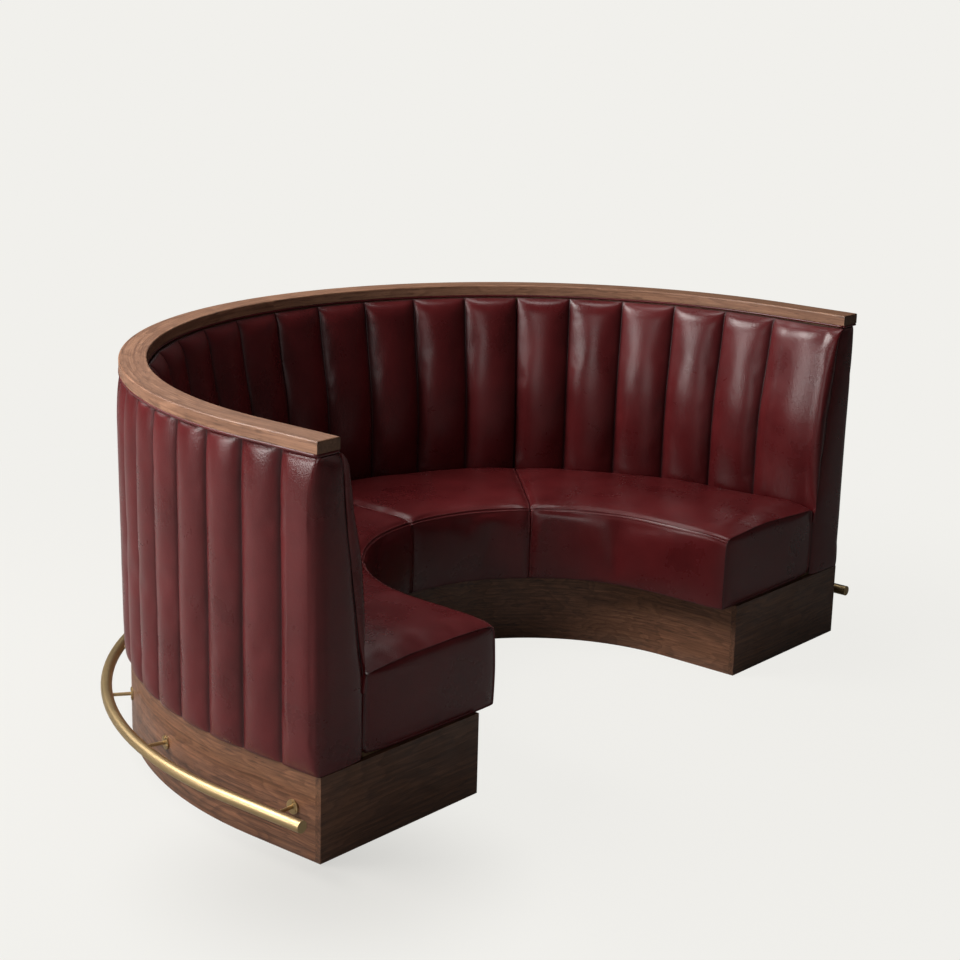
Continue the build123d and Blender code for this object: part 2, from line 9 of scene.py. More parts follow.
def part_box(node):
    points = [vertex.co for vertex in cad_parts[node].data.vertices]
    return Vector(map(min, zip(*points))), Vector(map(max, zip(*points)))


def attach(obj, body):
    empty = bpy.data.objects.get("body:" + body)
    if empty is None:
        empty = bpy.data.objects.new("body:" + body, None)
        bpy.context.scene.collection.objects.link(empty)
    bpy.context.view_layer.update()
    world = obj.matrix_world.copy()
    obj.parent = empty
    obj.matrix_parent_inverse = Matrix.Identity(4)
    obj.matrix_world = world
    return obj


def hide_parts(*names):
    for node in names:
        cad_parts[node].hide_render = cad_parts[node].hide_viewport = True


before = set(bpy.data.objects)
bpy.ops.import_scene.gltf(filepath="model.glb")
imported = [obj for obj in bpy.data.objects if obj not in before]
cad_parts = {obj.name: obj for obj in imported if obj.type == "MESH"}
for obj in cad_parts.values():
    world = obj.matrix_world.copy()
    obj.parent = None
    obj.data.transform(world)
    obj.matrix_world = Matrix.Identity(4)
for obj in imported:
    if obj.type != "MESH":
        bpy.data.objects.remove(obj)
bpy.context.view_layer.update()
print("frame loaded:", len(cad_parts), "nodes")

# The booth's main sizes in metres, read from the frame.
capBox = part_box("cap_rail_left_arm")
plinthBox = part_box("plinth_outer_panel")
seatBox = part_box("seat_cushion_left_arm")
booth = {
    "capRadius": -capBox[0].x,
    "capBottom": capBox[0].z,
    "capWidth": 0.077,
    "plinthTop": seatBox[0].z,
    "centreY": plinthBox[1].y - plinthBox[1].x,  # centre of the curve
    "seatTop": 0.469,
    "seatFront": 0.533,  # radius of the seat's front
    "seatBack": 1.045,
}
booth["arm"] = booth["centreY"] - capBox[0].y  # straight run past the half circle
booth["curve"] = math.pi * booth["capRadius"]
booth["run"] = booth["curve"] + 2 * booth["arm"]
sideNames = ("left_arm", "back_left", "back_right", "right_arm")


# Shape helpers that every piece shares.
def place(run, radius, height):  # distance along the cap's outer edge, radius and height, as a point
    run, radius, height = np.broadcast_arrays(run, radius, height)
    along = np.clip(run - booth["arm"], 0, booth["curve"])
    turn = math.pi - along / booth["capRadius"]
    past = np.clip(booth["arm"] - run, 0, None) + np.clip(run - booth["arm"] - booth["curve"], 0, None)
    x = radius * np.cos(turn)
    y = radius * np.sin(turn) - past + booth["centreY"]
    return np.stack([x, y, height], -1)


def angleRun(angle):  # where an angle from +X lies along the run
    return booth["arm"] + booth["curve"] * (1 - angle / 180)


def smoothRows(rows, shares):  # a smooth curve through rows of (share, value, value...)
    table = np.array(rows)
    xs = table[:, 0]
    columns = []
    for k in range(1, table.shape[1]):
        ys = table[:, k]
        steps = np.diff(ys) / np.diff(xs)
        slopes = np.concatenate([[steps[0]], (steps[1:] + steps[:-1]) / 2, [steps[-1]]])
        slopes[1:-1] = np.where(steps[1:] * steps[:-1] <= 0, 0, slopes[1:-1])
        low = np.clip(np.searchsorted(xs, shares, side="right") - 1, 0, len(xs) - 2)
        width = xs[low + 1] - xs[low]
        t = (shares - xs[low]) / width
        columns.append(
            ys[low] * (1 + 2 * t) * (1 - t) ** 2 + slopes[low] * width * t * (1 - t) ** 2
            + ys[low + 1] * t * t * (3 - 2 * t) + slopes[low + 1] * width * t * t * (t - 1)
        )
    return columns


def smoothStep(low, high, value):
    t = np.clip((value - low) / (high - low), 0, 1)
    return t * t * (3 - 2 * t)


def crowded(count, power):  # evenly ordered values from -1 to 1 that crowd towards both ends
    s = np.linspace(-1, 1, count)
    return np.sign(s) * (1 - (1 - np.abs(s)) ** power)


def noiseField(points, scale, seed):  # smooth noise at each point, from -1 to 1
    flat = points.reshape(-1, 3) * np.array(scale) + seed * 7.31
    values = [noise.noise(Vector(p)) for p in flat]
    return np.array(values).reshape(points.shape[:-1])


def sheetNormals(points):
    across = np.gradient(points, axis=0)
    upward = np.gradient(points, axis=1)
    normal = np.cross(across, upward)
    return normal / np.maximum(np.linalg.norm(normal, axis=-1, keepdims=True), 1e-9)


def makeMesh(name, vertices, faces, smooth=True):
    mesh = bpy.data.meshes.new(name)
    mesh.from_pydata([tuple(v) for v in vertices], [], faces)
    mesh.update()
    if smooth:
        mesh.polygons.foreach_set("use_smooth", [True] * len(mesh.polygons))
    piece = bpy.data.objects.new(name, mesh)
    bpy.context.scene.collection.objects.link(piece)
    return piece


def faceValues(piece, name, values):  # a value at each vertex, for the material to read
    layer = piece.data.attributes.new(name, "FLOAT", "POINT")
    layer.data.foreach_set("value", np.asarray(values, dtype=np.float32))


def sheetFaces(columns, rows):  # faces of a grid of points, columns by rows
    return [
        (k, k + rows, k + rows + 1, k + 1)
        for c in range(columns - 1)
        for k in range(c * rows, c * rows + rows - 1)
    ]


def closedSheet(name, front, back, wear):
    # front is a grid of points, columns by rows. back gives each column's foot and top behind it.
    columns, rows = front.shape[:2]
    vertices = np.concatenate([front.reshape(-1, 3), back.reshape(-1, 3)])
    faces = sheetFaces(columns, rows)
    for c in range(columns - 1):
        foot, top = c * rows, c * rows + rows - 1
        behind = columns * rows + c * 2
        faces.append((behind, behind + 2, foot + rows, foot))
        faces.append((top, top + rows, behind + 3, behind + 1))
        faces.append((behind + 1, behind + 3, behind + 2, behind))
    count = columns * rows
    faces.append([*range(rows), count + 1, count])
    faces.append([*reversed(range(count - rows, count)), count + columns * 2 - 2, count + columns * 2 - 1])
    piece = makeMesh(name, vertices, faces)
    # wear is painted crease shade; the points behind take it in full, painted shade on the hidden back.
    faceValues(piece, "crease", np.concatenate([wear.reshape(-1), np.ones(columns * 2)]))
    return piece


def applyModifiers(piece):
    graph = bpy.context.evaluated_depsgraph_get()
    mesh = bpy.data.meshes.new_from_object(piece.evaluated_get(graph))
    piece.modifiers.clear()
    old = piece.data
    piece.data = mesh
    bpy.data.meshes.remove(old)


def subdivide(piece, levels=1):
    piece.modifiers.new("subdivision", "SUBSURF").levels = levels
    applyModifiers(piece)
    piece.data.polygons.foreach_set("use_smooth", [True] * len(piece.data.polygons))


def addTube(vertices, faces, rings):  # rings of points, joined one to the next and closed at both ends
    first = len(vertices)
    count = len(rings[0])
    vertices.extend(point for ring in rings for point in ring)
    last = first + (len(rings) - 1) * count
    for ring in range(first, last, count):
        for s in range(count):
            a, b = ring + s, ring + (s + 1) % count
            faces.append((a, b, b + count, a + count))
    faces.append(tuple(first + s for s in reversed(range(count))))
    faces.append(tuple(last + s for s in range(count)))


def dress(piece, material, slot, *nodes):  # nodes are what the piece takes the place of
    piece.data.materials.append(material)
    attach(piece, "booth")
    if nodes:
        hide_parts(*nodes)


# Shader helpers.
def newMaterial(name):
    material = bpy.data.materials.new(name)
    material.use_nodes = True
    material.node_tree.nodes.clear()
    return material, material.node_tree


def node(tree, kind, inputs=(), **settings):
    made = tree.nodes.new(kind)
    for key, value in settings.items():
        setattr(made, key, value)
    for key, value in dict(inputs).items():
        socket = made.inputs[key]
        if isinstance(value, bpy.types.NodeSocket):
            tree.links.new(value, socket)
        else:
            socket.default_value = value
    return made


def calc(tree, operation, *values):
    return node(tree, "ShaderNodeMath", dict(enumerate(values)), operation=operation).outputs[0]


def times(tree, first, second):
    return calc(tree, "MULTIPLY", first, second)


def plus(tree, first, second):
    return calc(tree, "ADD", first, second)


def minus(tree, first, second):
    return calc(tree, "SUBTRACT", first, second)


def mixColour(tree, share, first, second):
    first, second = ((*colour, 1) if isinstance(colour, tuple) else colour for colour in (first, second))
    inputs = {0: share, 6: first, 7: second}
    return node(tree, "ShaderNodeMix", inputs, data_type="RGBA").outputs[2]


def layered(tree, tone, *layers):  # each layer is a mask, its share and its colour
    for mask, share, colour in layers:
        tone = mixColour(tree, times(tree, mask, share), tone, colour)
    return tone


def summed(tree, value, *parts):  # each part is a mask and how much it adds
    for mask, amount in parts:
        value = plus(tree, value, times(tree, mask, amount))
    return value


def ramp(tree, share, low, high, easing="LINEAR"):  # 0 below low and 1 above high
    made = node(tree, "ShaderNodeMapRange", {0: share, 1: low, 2: high, 3: 0.0, 4: 1.0}, clamp=True)
    made.interpolation_type = easing
    return made.outputs[0]


def objectPoint(tree):
    return node(tree, "ShaderNodeTexCoord").outputs["Object"]


def split(tree, vector):
    return node(tree, "ShaderNodeSeparateXYZ", {0: vector}).outputs


def vectorMath(tree, operation, first, second):
    return node(tree, "ShaderNodeVectorMath", {0: first, 1: second}, operation=operation).outputs


def cloudNoise(tree, vector, scale, detail, roughness=0.5, distortion=0.0):
    inputs = {"Vector": vector, "Scale": scale, "Detail": detail, "Roughness": roughness}
    return node(tree, "ShaderNodeTexNoise", {**inputs, "Distortion": distortion}).outputs["Fac"]


def stretchedNoise(tree, vector, stretch, *more):  # drawn out along the axes with small numbers
    mapped = node(tree, "ShaderNodeMapping", {"Vector": vector, "Scale": stretch}).outputs[0]
    return cloudNoise(tree, mapped, 1.0, *more)


def bump(tree, height, strength, distance, **more):
    inputs = {"Height": height, "Strength": strength, "Distance": distance, **more}
    return node(tree, "ShaderNodeBump", inputs).outputs[0]


def makeGroup(name, inputs, build):  # an input without a value is a vector, build gives the outputs
    group = bpy.data.node_groups.new(name, "ShaderNodeTree")
    for key, value in inputs.items():
        kind = "NodeSocketVector" if value is None else "NodeSocketFloat"
        socket = group.interface.new_socket(key, in_out="INPUT", socket_type=kind)
        if value is not None:
            socket.default_value = value
    results = build(group, group.nodes.new("NodeGroupInput").outputs)
    for key, value in results.items():
        kind = "NodeSocketVector" if value.type == "VECTOR" else "NodeSocketFloat"
        group.interface.new_socket(key, in_out="OUTPUT", socket_type=kind)
    node(group, "NodeGroupOutput", results)
    return group


def useGroup(tree, group, values=()):
    return node(tree, "ShaderNodeGroup", values, node_tree=group).outputs


def finishMaterial(tree, **inputs):  # the shader and its output stay in the material
    sockets = {key.replace("_", " "): value for key, value in inputs.items()}
    shader = node(tree, "ShaderNodeBsdfPrincipled", sockets)
    node(tree, "ShaderNodeOutputMaterial", {"Surface": shader.outputs[0]})


# Position along the booth, so that grain follows the curve.
def alongParts(group, _):
    parts = split(group, objectPoint(group))
    y = minus(group, parts["Y"], booth["centreY"])
    curveY = calc(group, "MAXIMUM", y, 0.0)
    angle = calc(group, "ARCTAN2", parts["X"], curveY)
    side = calc(group, "SIGN", parts["X"])
    past = times(group, side, calc(group, "MAXIMUM", times(group, y, -1.0), 0.0))
    run = plus(group, times(group, angle, booth["capRadius"]), past)
    square = plus(group, calc(group, "POWER", parts["X"], 2.0), calc(group, "POWER", curveY, 2.0))
    radius = calc(group, "SQRT", square)
    along = node(group, "ShaderNodeCombineXYZ", {0: run, 1: radius, 2: parts["Z"]}).outputs[0]
    return {"Along": along, "Run": run}


# Fine pebble and creases of finished leather.
leatherGrain = {
    "warp": 60.0, "warpReach": 0.004, "pebbleShare": 0.7, "leastGrain": 0.55,
    # noise layers: scale, or stretch along the axes, then detail, roughness and distortion
    "fine": (900.0, 3.0), "patches": (9.0, 4.0, 0.6), "mottle": (5.5, 5.0, 0.62),
    "pulls": ((14.0, 14.0, 55.0), 2.0, 0.5, 0.6),
    "patchRange": (0.35, 0.7), "pullRange": (0.45, 0.75),
}


def leatherParts(group, entry):
    look = leatherGrain
    point = objectPoint(group)
    warp = node(group, "ShaderNodeTexNoise", {"Vector": point, "Scale": look["warp"], "Detail": 2.0})
    offset = vectorMath(group, "MULTIPLY", warp.outputs["Color"], (look["warpReach"],) * 3)[0]
    bent = vectorMath(group, "ADD", point, offset)[0]
    cellInputs = {"Vector": bent, "Scale": entry["Pebble Size"]}
    cells = node(group, "ShaderNodeTexVoronoi", cellInputs, feature="SMOOTH_F1")
    pebble = minus(group, 1.0, cells.outputs["Distance"])
    fine = cloudNoise(group, bent, *look["fine"])
    strength = ramp(group, cloudNoise(group, point, *look["patches"]), *look["patchRange"])
    share, least = look["pebbleShare"], look["leastGrain"]
    grain = plus(group, times(group, pebble, share), times(group, fine, 1 - share))
    grain = times(group, grain, plus(group, least, times(group, strength, 1 - least)))
    # Faint pull lines run out of the creases, as bumps and as painted shade that grows near a crease.
    pulls = ramp(group, stretchedNoise(group, point, *look["pulls"]), *look["pullRange"])
    mottle = cloudNoise(group, point, *look["mottle"])
    return {"Height": grain, "Mottle": mottle, "Pull": times(group, pulls, entry["Crease"])}


# Long walnut grain with pores and cathedral figure.
walnutGrain = {
    "bendReach": 0.35, "shiverReach": 0.016, "rings": 38.0, "ringPower": 1.6, "ringEdge": 0.86,
    # noise layers: stretch along the axes, detail, roughness and distortion
    "drift": ((1.7, 7.5, 7.5), 3.0), "shiver": ((6.0, 40.0, 40.0), 2.0),
    "streak": ((3.0, 160.0, 160.0), 4.0, 0.65), "pore": ((45.0, 900.0, 900.0), 2.0),
    "fleck": ((13.0, 130.0, 130.0), 2.0, 0.5, 0.4),
    "poreRange": (0.58, 0.72), "fleckRange": (0.60, 0.70),
}


def woodParts(group, entry):
    look = walnutGrain
    along = entry["Along"]
    noises = ("drift", "shiver", "streak", "pore", "fleck")
    drift, shiver, streak, pore, fleck = (stretchedNoise(group, along, *look[key]) for key in noises)
    bend = times(group, minus(group, drift, 0.5), entry["Figure Bend"])
    parts = split(group, along)
    rise = plus(group, parts["Z"], times(group, parts["Y"], entry["Across"]))
    rings = plus(group, rise, times(group, bend, look["bendReach"]))
    rings = times(group, rings, entry["Figure Size"])
    rings = plus(group, rings, times(group, shiver, look["shiverReach"]))
    saw = calc(group, "FRACT", times(group, rings, look["rings"]))
    fall = minus(group, 1.0, ramp(group, saw, look["ringEdge"], 1.0))
    figure = times(group, calc(group, "POWER", saw, look["ringPower"]), fall)
    pores, flecks = ramp(group, pore, *look["poreRange"]), ramp(group, fleck, *look["fleckRange"])
    return {"Figure": figure, "Streak": streak, "Pore": pores, "Broad": drift, "Fleck": flecks}


# Handling marks and settled dust.
handlingWear = {
    # the cloud's detail and roughness, the scratches' stretch, detail, roughness and distortion
    "cloud": (5.0, 0.65), "scratch": ((30.0, 30.0, 420.0), 3.0, 0.5, 1.2),
    "smudgeRange": (0.42, 0.72), "scratchRange": (0.62, 0.7), "dustRange": (0.3, 0.7),
}


def wearParts(group, entry):
    look = handlingWear
    point = objectPoint(group)
    cloud = cloudNoise(group, point, entry["Scale"], *look["cloud"])
    scratch = stretchedNoise(group, point, *look["scratch"])
    height = calc(group, "DIVIDE", split(group, point)["Z"], entry["Dust Height"])
    low = minus(group, 1.0, ramp(group, height, 0.0, 1.0))
    return {
        "Smudge": ramp(group, cloud, *look["smudgeRange"]),
        "Scratch": ramp(group, scratch, *look["scratchRange"]),
        "Dust": times(group, low, ramp(group, cloud, *look["dustRange"])),
    }


alongGroup = makeGroup("alongBooth", {}, alongParts)
leatherGroup = makeGroup("leatherGrain", {"Pebble Size": 520.0, "Crease": 0.0}, leatherParts)
woodInputs = {"Along": None, "Figure Size": 1.0, "Figure Bend": 1.0, "Across": 1.0}
woodGroup = makeGroup("walnutGrain", woodInputs, woodParts)
wearGroup = makeGroup("handlingWear", {"Scale": 12.0, "Dust Height": 0.12}, wearParts)
print("shader groups built")


# Materials.
# The crease colour is painted shade for the creases, seams, cushion edges and pull lines.
leatherLook = {
    "deep": (0.062, 0.0058, 0.0068), "lit": (0.122, 0.0122, 0.0140), "crease": (0.012, 0.002, 0.003),
    "specular": 0.42, "wearScale": 7.0, "mottleRange": (0.22, 0.82), "pullShadeShare": 0.35,
    "creaseShadeShare": 0.9, "mottleRough": 0.20, "smudgeRough": 0.05, "creaseRough": 0.12,
    "pullRelief": (0.5, 0.0006), "grainStrength": 0.8,
}


def makeLeather(name, pebble, grainHeight, roughness):
    look = leatherLook
    material, tree = newMaterial(name)
    crease = node(tree, "ShaderNodeAttribute", attribute_name="crease").outputs["Fac"]
    grain = useGroup(tree, leatherGroup, {"Pebble Size": pebble, "Crease": crease})
    wear = useGroup(tree, wearGroup, {"Scale": look["wearScale"]})
    mottle = ramp(tree, grain["Mottle"], *look["mottleRange"])
    tone = mixColour(tree, mottle, look["deep"], look["lit"])
    # The crease attribute lays painted shade into the tone; the pull lines carry painted shade too.
    tone = layered(
        tree, tone, (grain["Pull"], look["pullShadeShare"], look["deep"]),
        (calc(tree, "POWER", crease, 2.0), look["creaseShadeShare"], look["crease"]),
    )
    rough = summed(
        tree, roughness, (minus(tree, grain["Mottle"], 0.5), look["mottleRough"]),
        (wear["Smudge"], look["smudgeRough"]), (crease, look["creaseRough"]),
    )
    pulls = bump(tree, grain["Pull"], *look["pullRelief"])
    surface = bump(tree, grain["Height"], look["grainStrength"], grainHeight, Normal=pulls)
    finishMaterial(
        tree, Base_Color=tone, Roughness=rough, Normal=surface, Specular_IOR_Level=look["specular"],
    )
    return material


leather = makeLeather("leather", 300.0, 0.0007, 0.28)
pipingLeather = makeLeather("pipingLeather", 900.0, 0.0001, 0.30)

woodLook = {
    "stepAngle": 64.5,  # from the middle to the outer joints of the cap's lengths
    "lengthShift": (3.7, 0.43, 0.171), "figureShare": 0.72, "broadShare": 0.30, "fleckShare": 0.50,
    "poreShare": 0.60, "endShare": 0.55, "endDepth": 0.0006, "dustShare": 0.12, "poreRough": 0.16,
    "smudgeRough": 0.08, "coat": 0.22, "coatWorn": 0.10, "coatRoughness": 0.28, "specular": 0.35,
    "endGrain": (0.060, 0.028, 0.016), "dust": (0.35, 0.31, 0.27), "wearScale": 10.0, "dustHeight": 0.05,
    "streakRange": (0.28, 0.72), "broadRange": (0.35, 0.75), "streakDepth": 0.35, "relief": (0.35, 0.00025),
}
capLook = {
    "dark": (0.120, 0.050, 0.026), "light": (0.430, 0.225, 0.135), "pore": (0.055, 0.022, 0.012),
    "roughness": 0.42, "figureSize": 0.9, "figureBend": 0.9, "across": 0.8, "lengths": True,
}
plinthLook = {
    "dark": (0.050, 0.018, 0.009), "light": (0.290, 0.128, 0.066), "pore": (0.026, 0.010, 0.006),
    "roughness": 0.40, "figureSize": 0.8, "figureBend": 1.6, "across": 0.0,
}
# The plinth's end panels have straight grain and darker tones; the darker tones are painted shade on the
# ends that face away from the lamps.
shadedPlinthEndLook = {
    **plinthLook, "dark": (0.036, 0.013, 0.0065), "light": (0.205, 0.090, 0.046),
    "roughness": 0.42, "figureBend": 1.2, "straight": True,
}


def ownGrain(tree, point, run):  # each length of rail has its own grain
    stepAt = booth["capRadius"] * math.radians(woodLook["stepAngle"])
    count = 0.0
    for joint in (-stepAt, 0.0, stepAt):
        count = plus(tree, count, calc(tree, "GREATER_THAN", run, joint))
    shifts = {axis: times(tree, count, shift) for axis, shift in enumerate(woodLook["lengthShift"])}
    shift = node(tree, "ShaderNodeCombineXYZ", shifts).outputs[0]
    return vectorMath(tree, "ADD", point, shift)[0]


def makeWalnut(name, look):
    wood = woodLook
    material, tree = newMaterial(name)
    along = useGroup(tree, alongGroup)
    point = objectPoint(tree) if look.get("straight") else along["Along"]
    if look.get("lengths"):
        point = ownGrain(tree, point, along["Run"])
    grain = useGroup(tree, woodGroup, {
        "Along": point, "Figure Size": look["figureSize"], "Figure Bend": look["figureBend"],
        "Across": look["across"],
    })
    wear = useGroup(tree, wearGroup, {"Scale": wood["wearScale"], "Dust Height": wood["dustHeight"]})
    streak = ramp(tree, grain["Streak"], *wood["streakRange"])
    broad = ramp(tree, grain["Broad"], *wood["broadRange"])
    tone = layered(
        tree, mixColour(tree, streak, look["dark"], look["light"]),
        (grain["Figure"], wood["figureShare"], look["dark"]), (broad, wood["broadShare"], look["light"]),
        (grain["Fleck"], wood["fleckShare"], look["pore"]), (grain["Pore"], wood["poreShare"], look["pore"]),
    )
    if look.get("lengths"):  # end grain is darker
        end = calc(tree, "LESS_THAN", split(tree, objectPoint(tree))["Y"], capBox[0].y + wood["endDepth"])
        tone = layered(tree, tone, (end, wood["endShare"], wood["endGrain"]))
    tone = layered(tree, tone, (wear["Dust"], wood["dustShare"], wood["dust"]))
    pores, smudges = (grain["Pore"], wood["poreRough"]), (wear["Smudge"], wood["smudgeRough"])
    rough = summed(tree, look["roughness"], pores, smudges)
    depth = minus(tree, times(tree, grain["Streak"], wood["streakDepth"]), grain["Pore"])
    coat = minus(tree, wood["coat"], times(tree, wear["Smudge"], wood["coatWorn"]))
    finishMaterial(
        tree, Base_Color=tone, Roughness=rough, Normal=bump(tree, depth, *wood["relief"]),
        Coat_Weight=coat, Coat_Roughness=wood["coatRoughness"], Specular_IOR_Level=wood["specular"],
    )
    return material


capWalnut = makeWalnut("capWalnut", capLook)
plinthWalnut = makeWalnut("plinthWalnut", plinthLook)
shadedEndWalnut = makeWalnut("plinthEndShadedWalnut", shadedPlinthEndLook)


metalLook = {
    "wearScales": (7.0, 90.0), "dustHeight": 0.05, "smudgeShare": 0.35, "fineShare": 0.10,
    "smudgeRough": 0.08, "scratchRough": 0.05, "relief": (0.10, 0.00005),
}


def makeMetal(name, tone, dark, roughness):
    look = metalLook
    material, tree = newMaterial(name)
    wear, fine = (
        useGroup(tree, wearGroup, {"Scale": scale, "Dust Height": look["dustHeight"]})
        for scale in look["wearScales"]
    )
    smudges, fineSmudges = (wear["Smudge"], look["smudgeShare"]), (fine["Smudge"], look["fineShare"])
    colour = layered(tree, tone, (*smudges, dark), (*fineSmudges, dark))
    smudges, scratches = (wear["Smudge"], look["smudgeRough"]), (wear["Scratch"], look["scratchRough"])
    rough = summed(tree, roughness, smudges, scratches)
    surface = bump(tree, wear["Scratch"], *look["relief"])
    finishMaterial(tree, Base_Color=colour, Metallic=1.0, Roughness=rough, Normal=surface)
    return material


brass = makeMetal("agedBrass", (0.49, 0.360, 0.190), (0.30, 0.212, 0.105), 0.42)
steel = makeMetal("zincSteel", (0.55, 0.55, 0.56), (0.30, 0.29, 0.28), 0.34)


plyLook = {
    "figure": {"Figure Size": 0.5, "Figure Bend": 2.0, "Across": 0.3}, "plies": 380.0,
    "plyRange": (0.1, 0.4), "streakRange": (0.25, 0.75), "figureShare": 0.35, "plyShare": 0.4,
    "poreRough": 0.1, "relief": (0.4, 0.0003),
}


def makePlywood(name, light, dark, roughness):
    look = plyLook
    material, tree = newMaterial(name)
    along = useGroup(tree, alongGroup)["Along"]
    grain = useGroup(tree, woodGroup, {"Along": along, **look["figure"]})
    plies = calc(tree, "PINGPONG", times(tree, split(tree, along)["Z"], look["plies"]), 0.5)
    normal = node(tree, "ShaderNodeNewGeometry").outputs["Normal"]
    upright = calc(tree, "LESS_THAN", calc(tree, "ABSOLUTE", split(tree, normal)["Z"]), 0.5)
    edge = times(tree, upright, ramp(tree, plies, *look["plyRange"]))
    tone = mixColour(tree, ramp(tree, grain["Streak"], *look["streakRange"]), dark, light)
    tone = layered(tree, tone, (grain["Figure"], look["figureShare"], dark), (edge, look["plyShare"], dark))
    rough = summed(tree, roughness, (grain["Pore"], look["poreRough"]))
    surface = bump(tree, grain["Streak"], *look["relief"])
    finishMaterial(tree, Base_Color=tone, Roughness=rough, Normal=surface)
    return material


plywood = makePlywood("birchPly", (0.62, 0.45, 0.28), (0.40, 0.26, 0.14), 0.68)
dowelWood = makePlywood("beechDowel", (0.66, 0.48, 0.30), (0.46, 0.31, 0.18), 0.6)


threadLook = {
    "strands": (1500.0, 2.0), "dark": (0.10, 0.016, 0.018), "light": (0.24, 0.055, 0.055),
    "roughness": 0.5, "strandRough": 0.2, "relief": (0.5, 0.0002),
}


def makeThread():
    look = threadLook
    material, tree = newMaterial("seatThread")
    strands = cloudNoise(tree, objectPoint(tree), *look["strands"])
    tone = mixColour(tree, strands, look["dark"], look["light"])
    rough = summed(tree, look["roughness"], (strands, look["strandRough"]))
    finishMaterial(tree, Base_Color=tone, Roughness=rough, Normal=bump(tree, strands, *look["relief"]))
    return material


thread = makeThread()
print("materials built")


# Outside of the back: upright flutes that turn the corner onto the arm's end.
outer = {
    "count": 32, "skin": 1.192, "pad": 0.034, "depth": 0.022, "columns": 15, "rows": 50, "perSide": 8,
    "corner": 0.022, "roll": 0.045, "groove": 0.0035, "grooveReach": 0.04, "creaseShadeReach": 0.12, "round": 0.70,
    "fill": 0.8, "seed": 11, "soft": 1.0, "endDepth": 0.020, "endBulge": 0.0012, "flatPart": 1.05,
    "curl": (0.009, 0.003), "curlFrom": (0.5, 0.93), "cornerPoints": 8, "flatPoints": 5, "rollPoints": 11,
    # how far across the arm's end each column lies
    "endWidths": (1.0, 0.985, 0.96, 0.92, 0.8, 0.6, 0.4, 0.2, 0.08),
    # share of the height, thickness and depth of the creases
    "profileShares": (
        (0.00, 0.50, 0.30), (0.012, 0.66, 0.62), (0.04, 0.78, 0.80), (0.12, 0.84, 0.88), (0.46, 0.92, 0.96),
        (0.80, 1.00, 1.00), (0.88, 0.99, 1.00), (0.93, 0.93, 0.97), (0.965, 0.83, 0.88), (0.988, 0.70, 0.70),
        (1.00, 0.52, 0.40),
    ),
}
inner = {
    "angle": 9.0, "pad": 0.084, "depth": 0.029, "columns": 19, "rows": 50, "foot": 0.405, "perSide": 5,
    "skinTop": 1.160, "lean": 0.056, "roll": 0.070, "setback": 0.043, "groove": 0.005, "grooveReach": 0.04,
    "creaseShadeReach": 0.10, "round": 0.62, "armBow": 0.009, "armRoll": 0.042, "fill": 0.85, "seed": 31,
    "soft": 1.3, "endDepth": 0.03, "curlIn": 0.010, "backPart": 0.45, "skinGap": 0.0004, "flatStart": 0.012,
    "seatHide": (0.53, 0.43), "seamGap": 0.001, "behindSeam": (0.01, 0.004), "endShade": 0.25,
    "curlPoints": 9, "turnPoints": 10, "flatPoints": 9, "rollPoints": 21,
    # share of the height, front, depth of the creases and setback of the seam
    "profileShares": (
        (0.00, 0.55, 0.45, 0.12), (0.13, 0.76, 0.75, 0.28), (0.31, 0.96, 1.00, 0.74),
        (0.50, 1.00, 1.00, 0.98), (0.62, 0.94, 1.00, 0.98), (0.76, 0.81, 0.97, 0.82),
        (0.88, 0.72, 0.92, 0.66), (0.95, 0.64, 0.80, 0.56), (0.985, 0.47, 0.50, 0.42),
        (1.00, 0.28, 0.15, 0.20),
    ),
}
cushion = {
    "topGap": 0.0086, "footGap": 0.0003, "edgeShadeWidth": 0.004, "press": 0.0012, "columnPower": 1.5,
    "rowPower": 1.7, "slow": ((9, 9, 4), 0.00112), "ripple": ((20, 20, 55), 0.00066), "rippleSeed": 3,
    "rippleGain": 2.2, "calmFrom": 0.75,
}
cushionTop = booth["capBottom"] - cushion["topGap"]
cushionFoot = booth["plinthTop"] + cushion["footGap"]


def rowShares(count):  # rows that crowd towards the foot and the top
    return (crowded(count, cushion["rowPower"]) + 1) / 2


def innerProfile(heights):  # radius of the crowns, depth of the creases, radius of seam and skin
    share = np.clip((heights - inner["foot"]) / (cushionTop - inner["foot"]), 0, 1)
    front, depth, setback = smoothRows(inner["profileShares"], share)
    below = (booth["capBottom"] - heights) / (booth["capBottom"] - inner["foot"])
    skin = inner["skinTop"] - inner["lean"] * below
    apex = skin - front * inner["pad"]
    low = smoothStep(*inner["seatHide"], heights)
    seam = (apex + setback * inner["setback"]) * (1 - low) + (booth["seatBack"] + inner["seamGap"]) * low
    return apex, depth * inner["depth"], seam, skin


def fluteCurve(t, share):  # 0 on the crown of a flute and 1 in its crease, round on top with steep sides
    return share * t ** 2 + (1 - share) * t ** 6


def creaseDip(reach, look):  # the narrow groove at a distance from the crease, in flute halves
    return look["groove"] * np.exp(-reach / look["grooveReach"])


def soften(front, wear, seed, amount):
    # Slow unevenness of the padding, pull lines out of the creases and small gathers at the top.
    (slowScale, slowDepth), (rippleScale, rippleDepth) = cushion["slow"], cushion["ripple"]
    slow = noiseField(front, slowScale, seed) * slowDepth
    ripple = noiseField(front, rippleScale, seed + cushion["rippleSeed"]) * rippleDepth
    ripple = ripple * np.clip(wear * cushion["rippleGain"], 0, 1)
    calm = 1 - smoothStep(cushion["calmFrom"], 1.0, wear)
    return front + sheetNormals(front) * ((slow + ripple) * amount * calm)[..., None]


# Cushion covers wait here as open sheets until they are settled together.
covers = []


def addCover(name, nodes, fill, front, back, wear, close=closedSheet):
    covers.append({
        "name": name, "nodes": nodes, "fill": fill, "front": front, "back": back, "wear": wear,
        "close": close,
    })


def mirrored(points):  # the other arm's points, in reversed order
    turned = points[::-1].copy()
    turned[..., 0] *= -1
    return turned


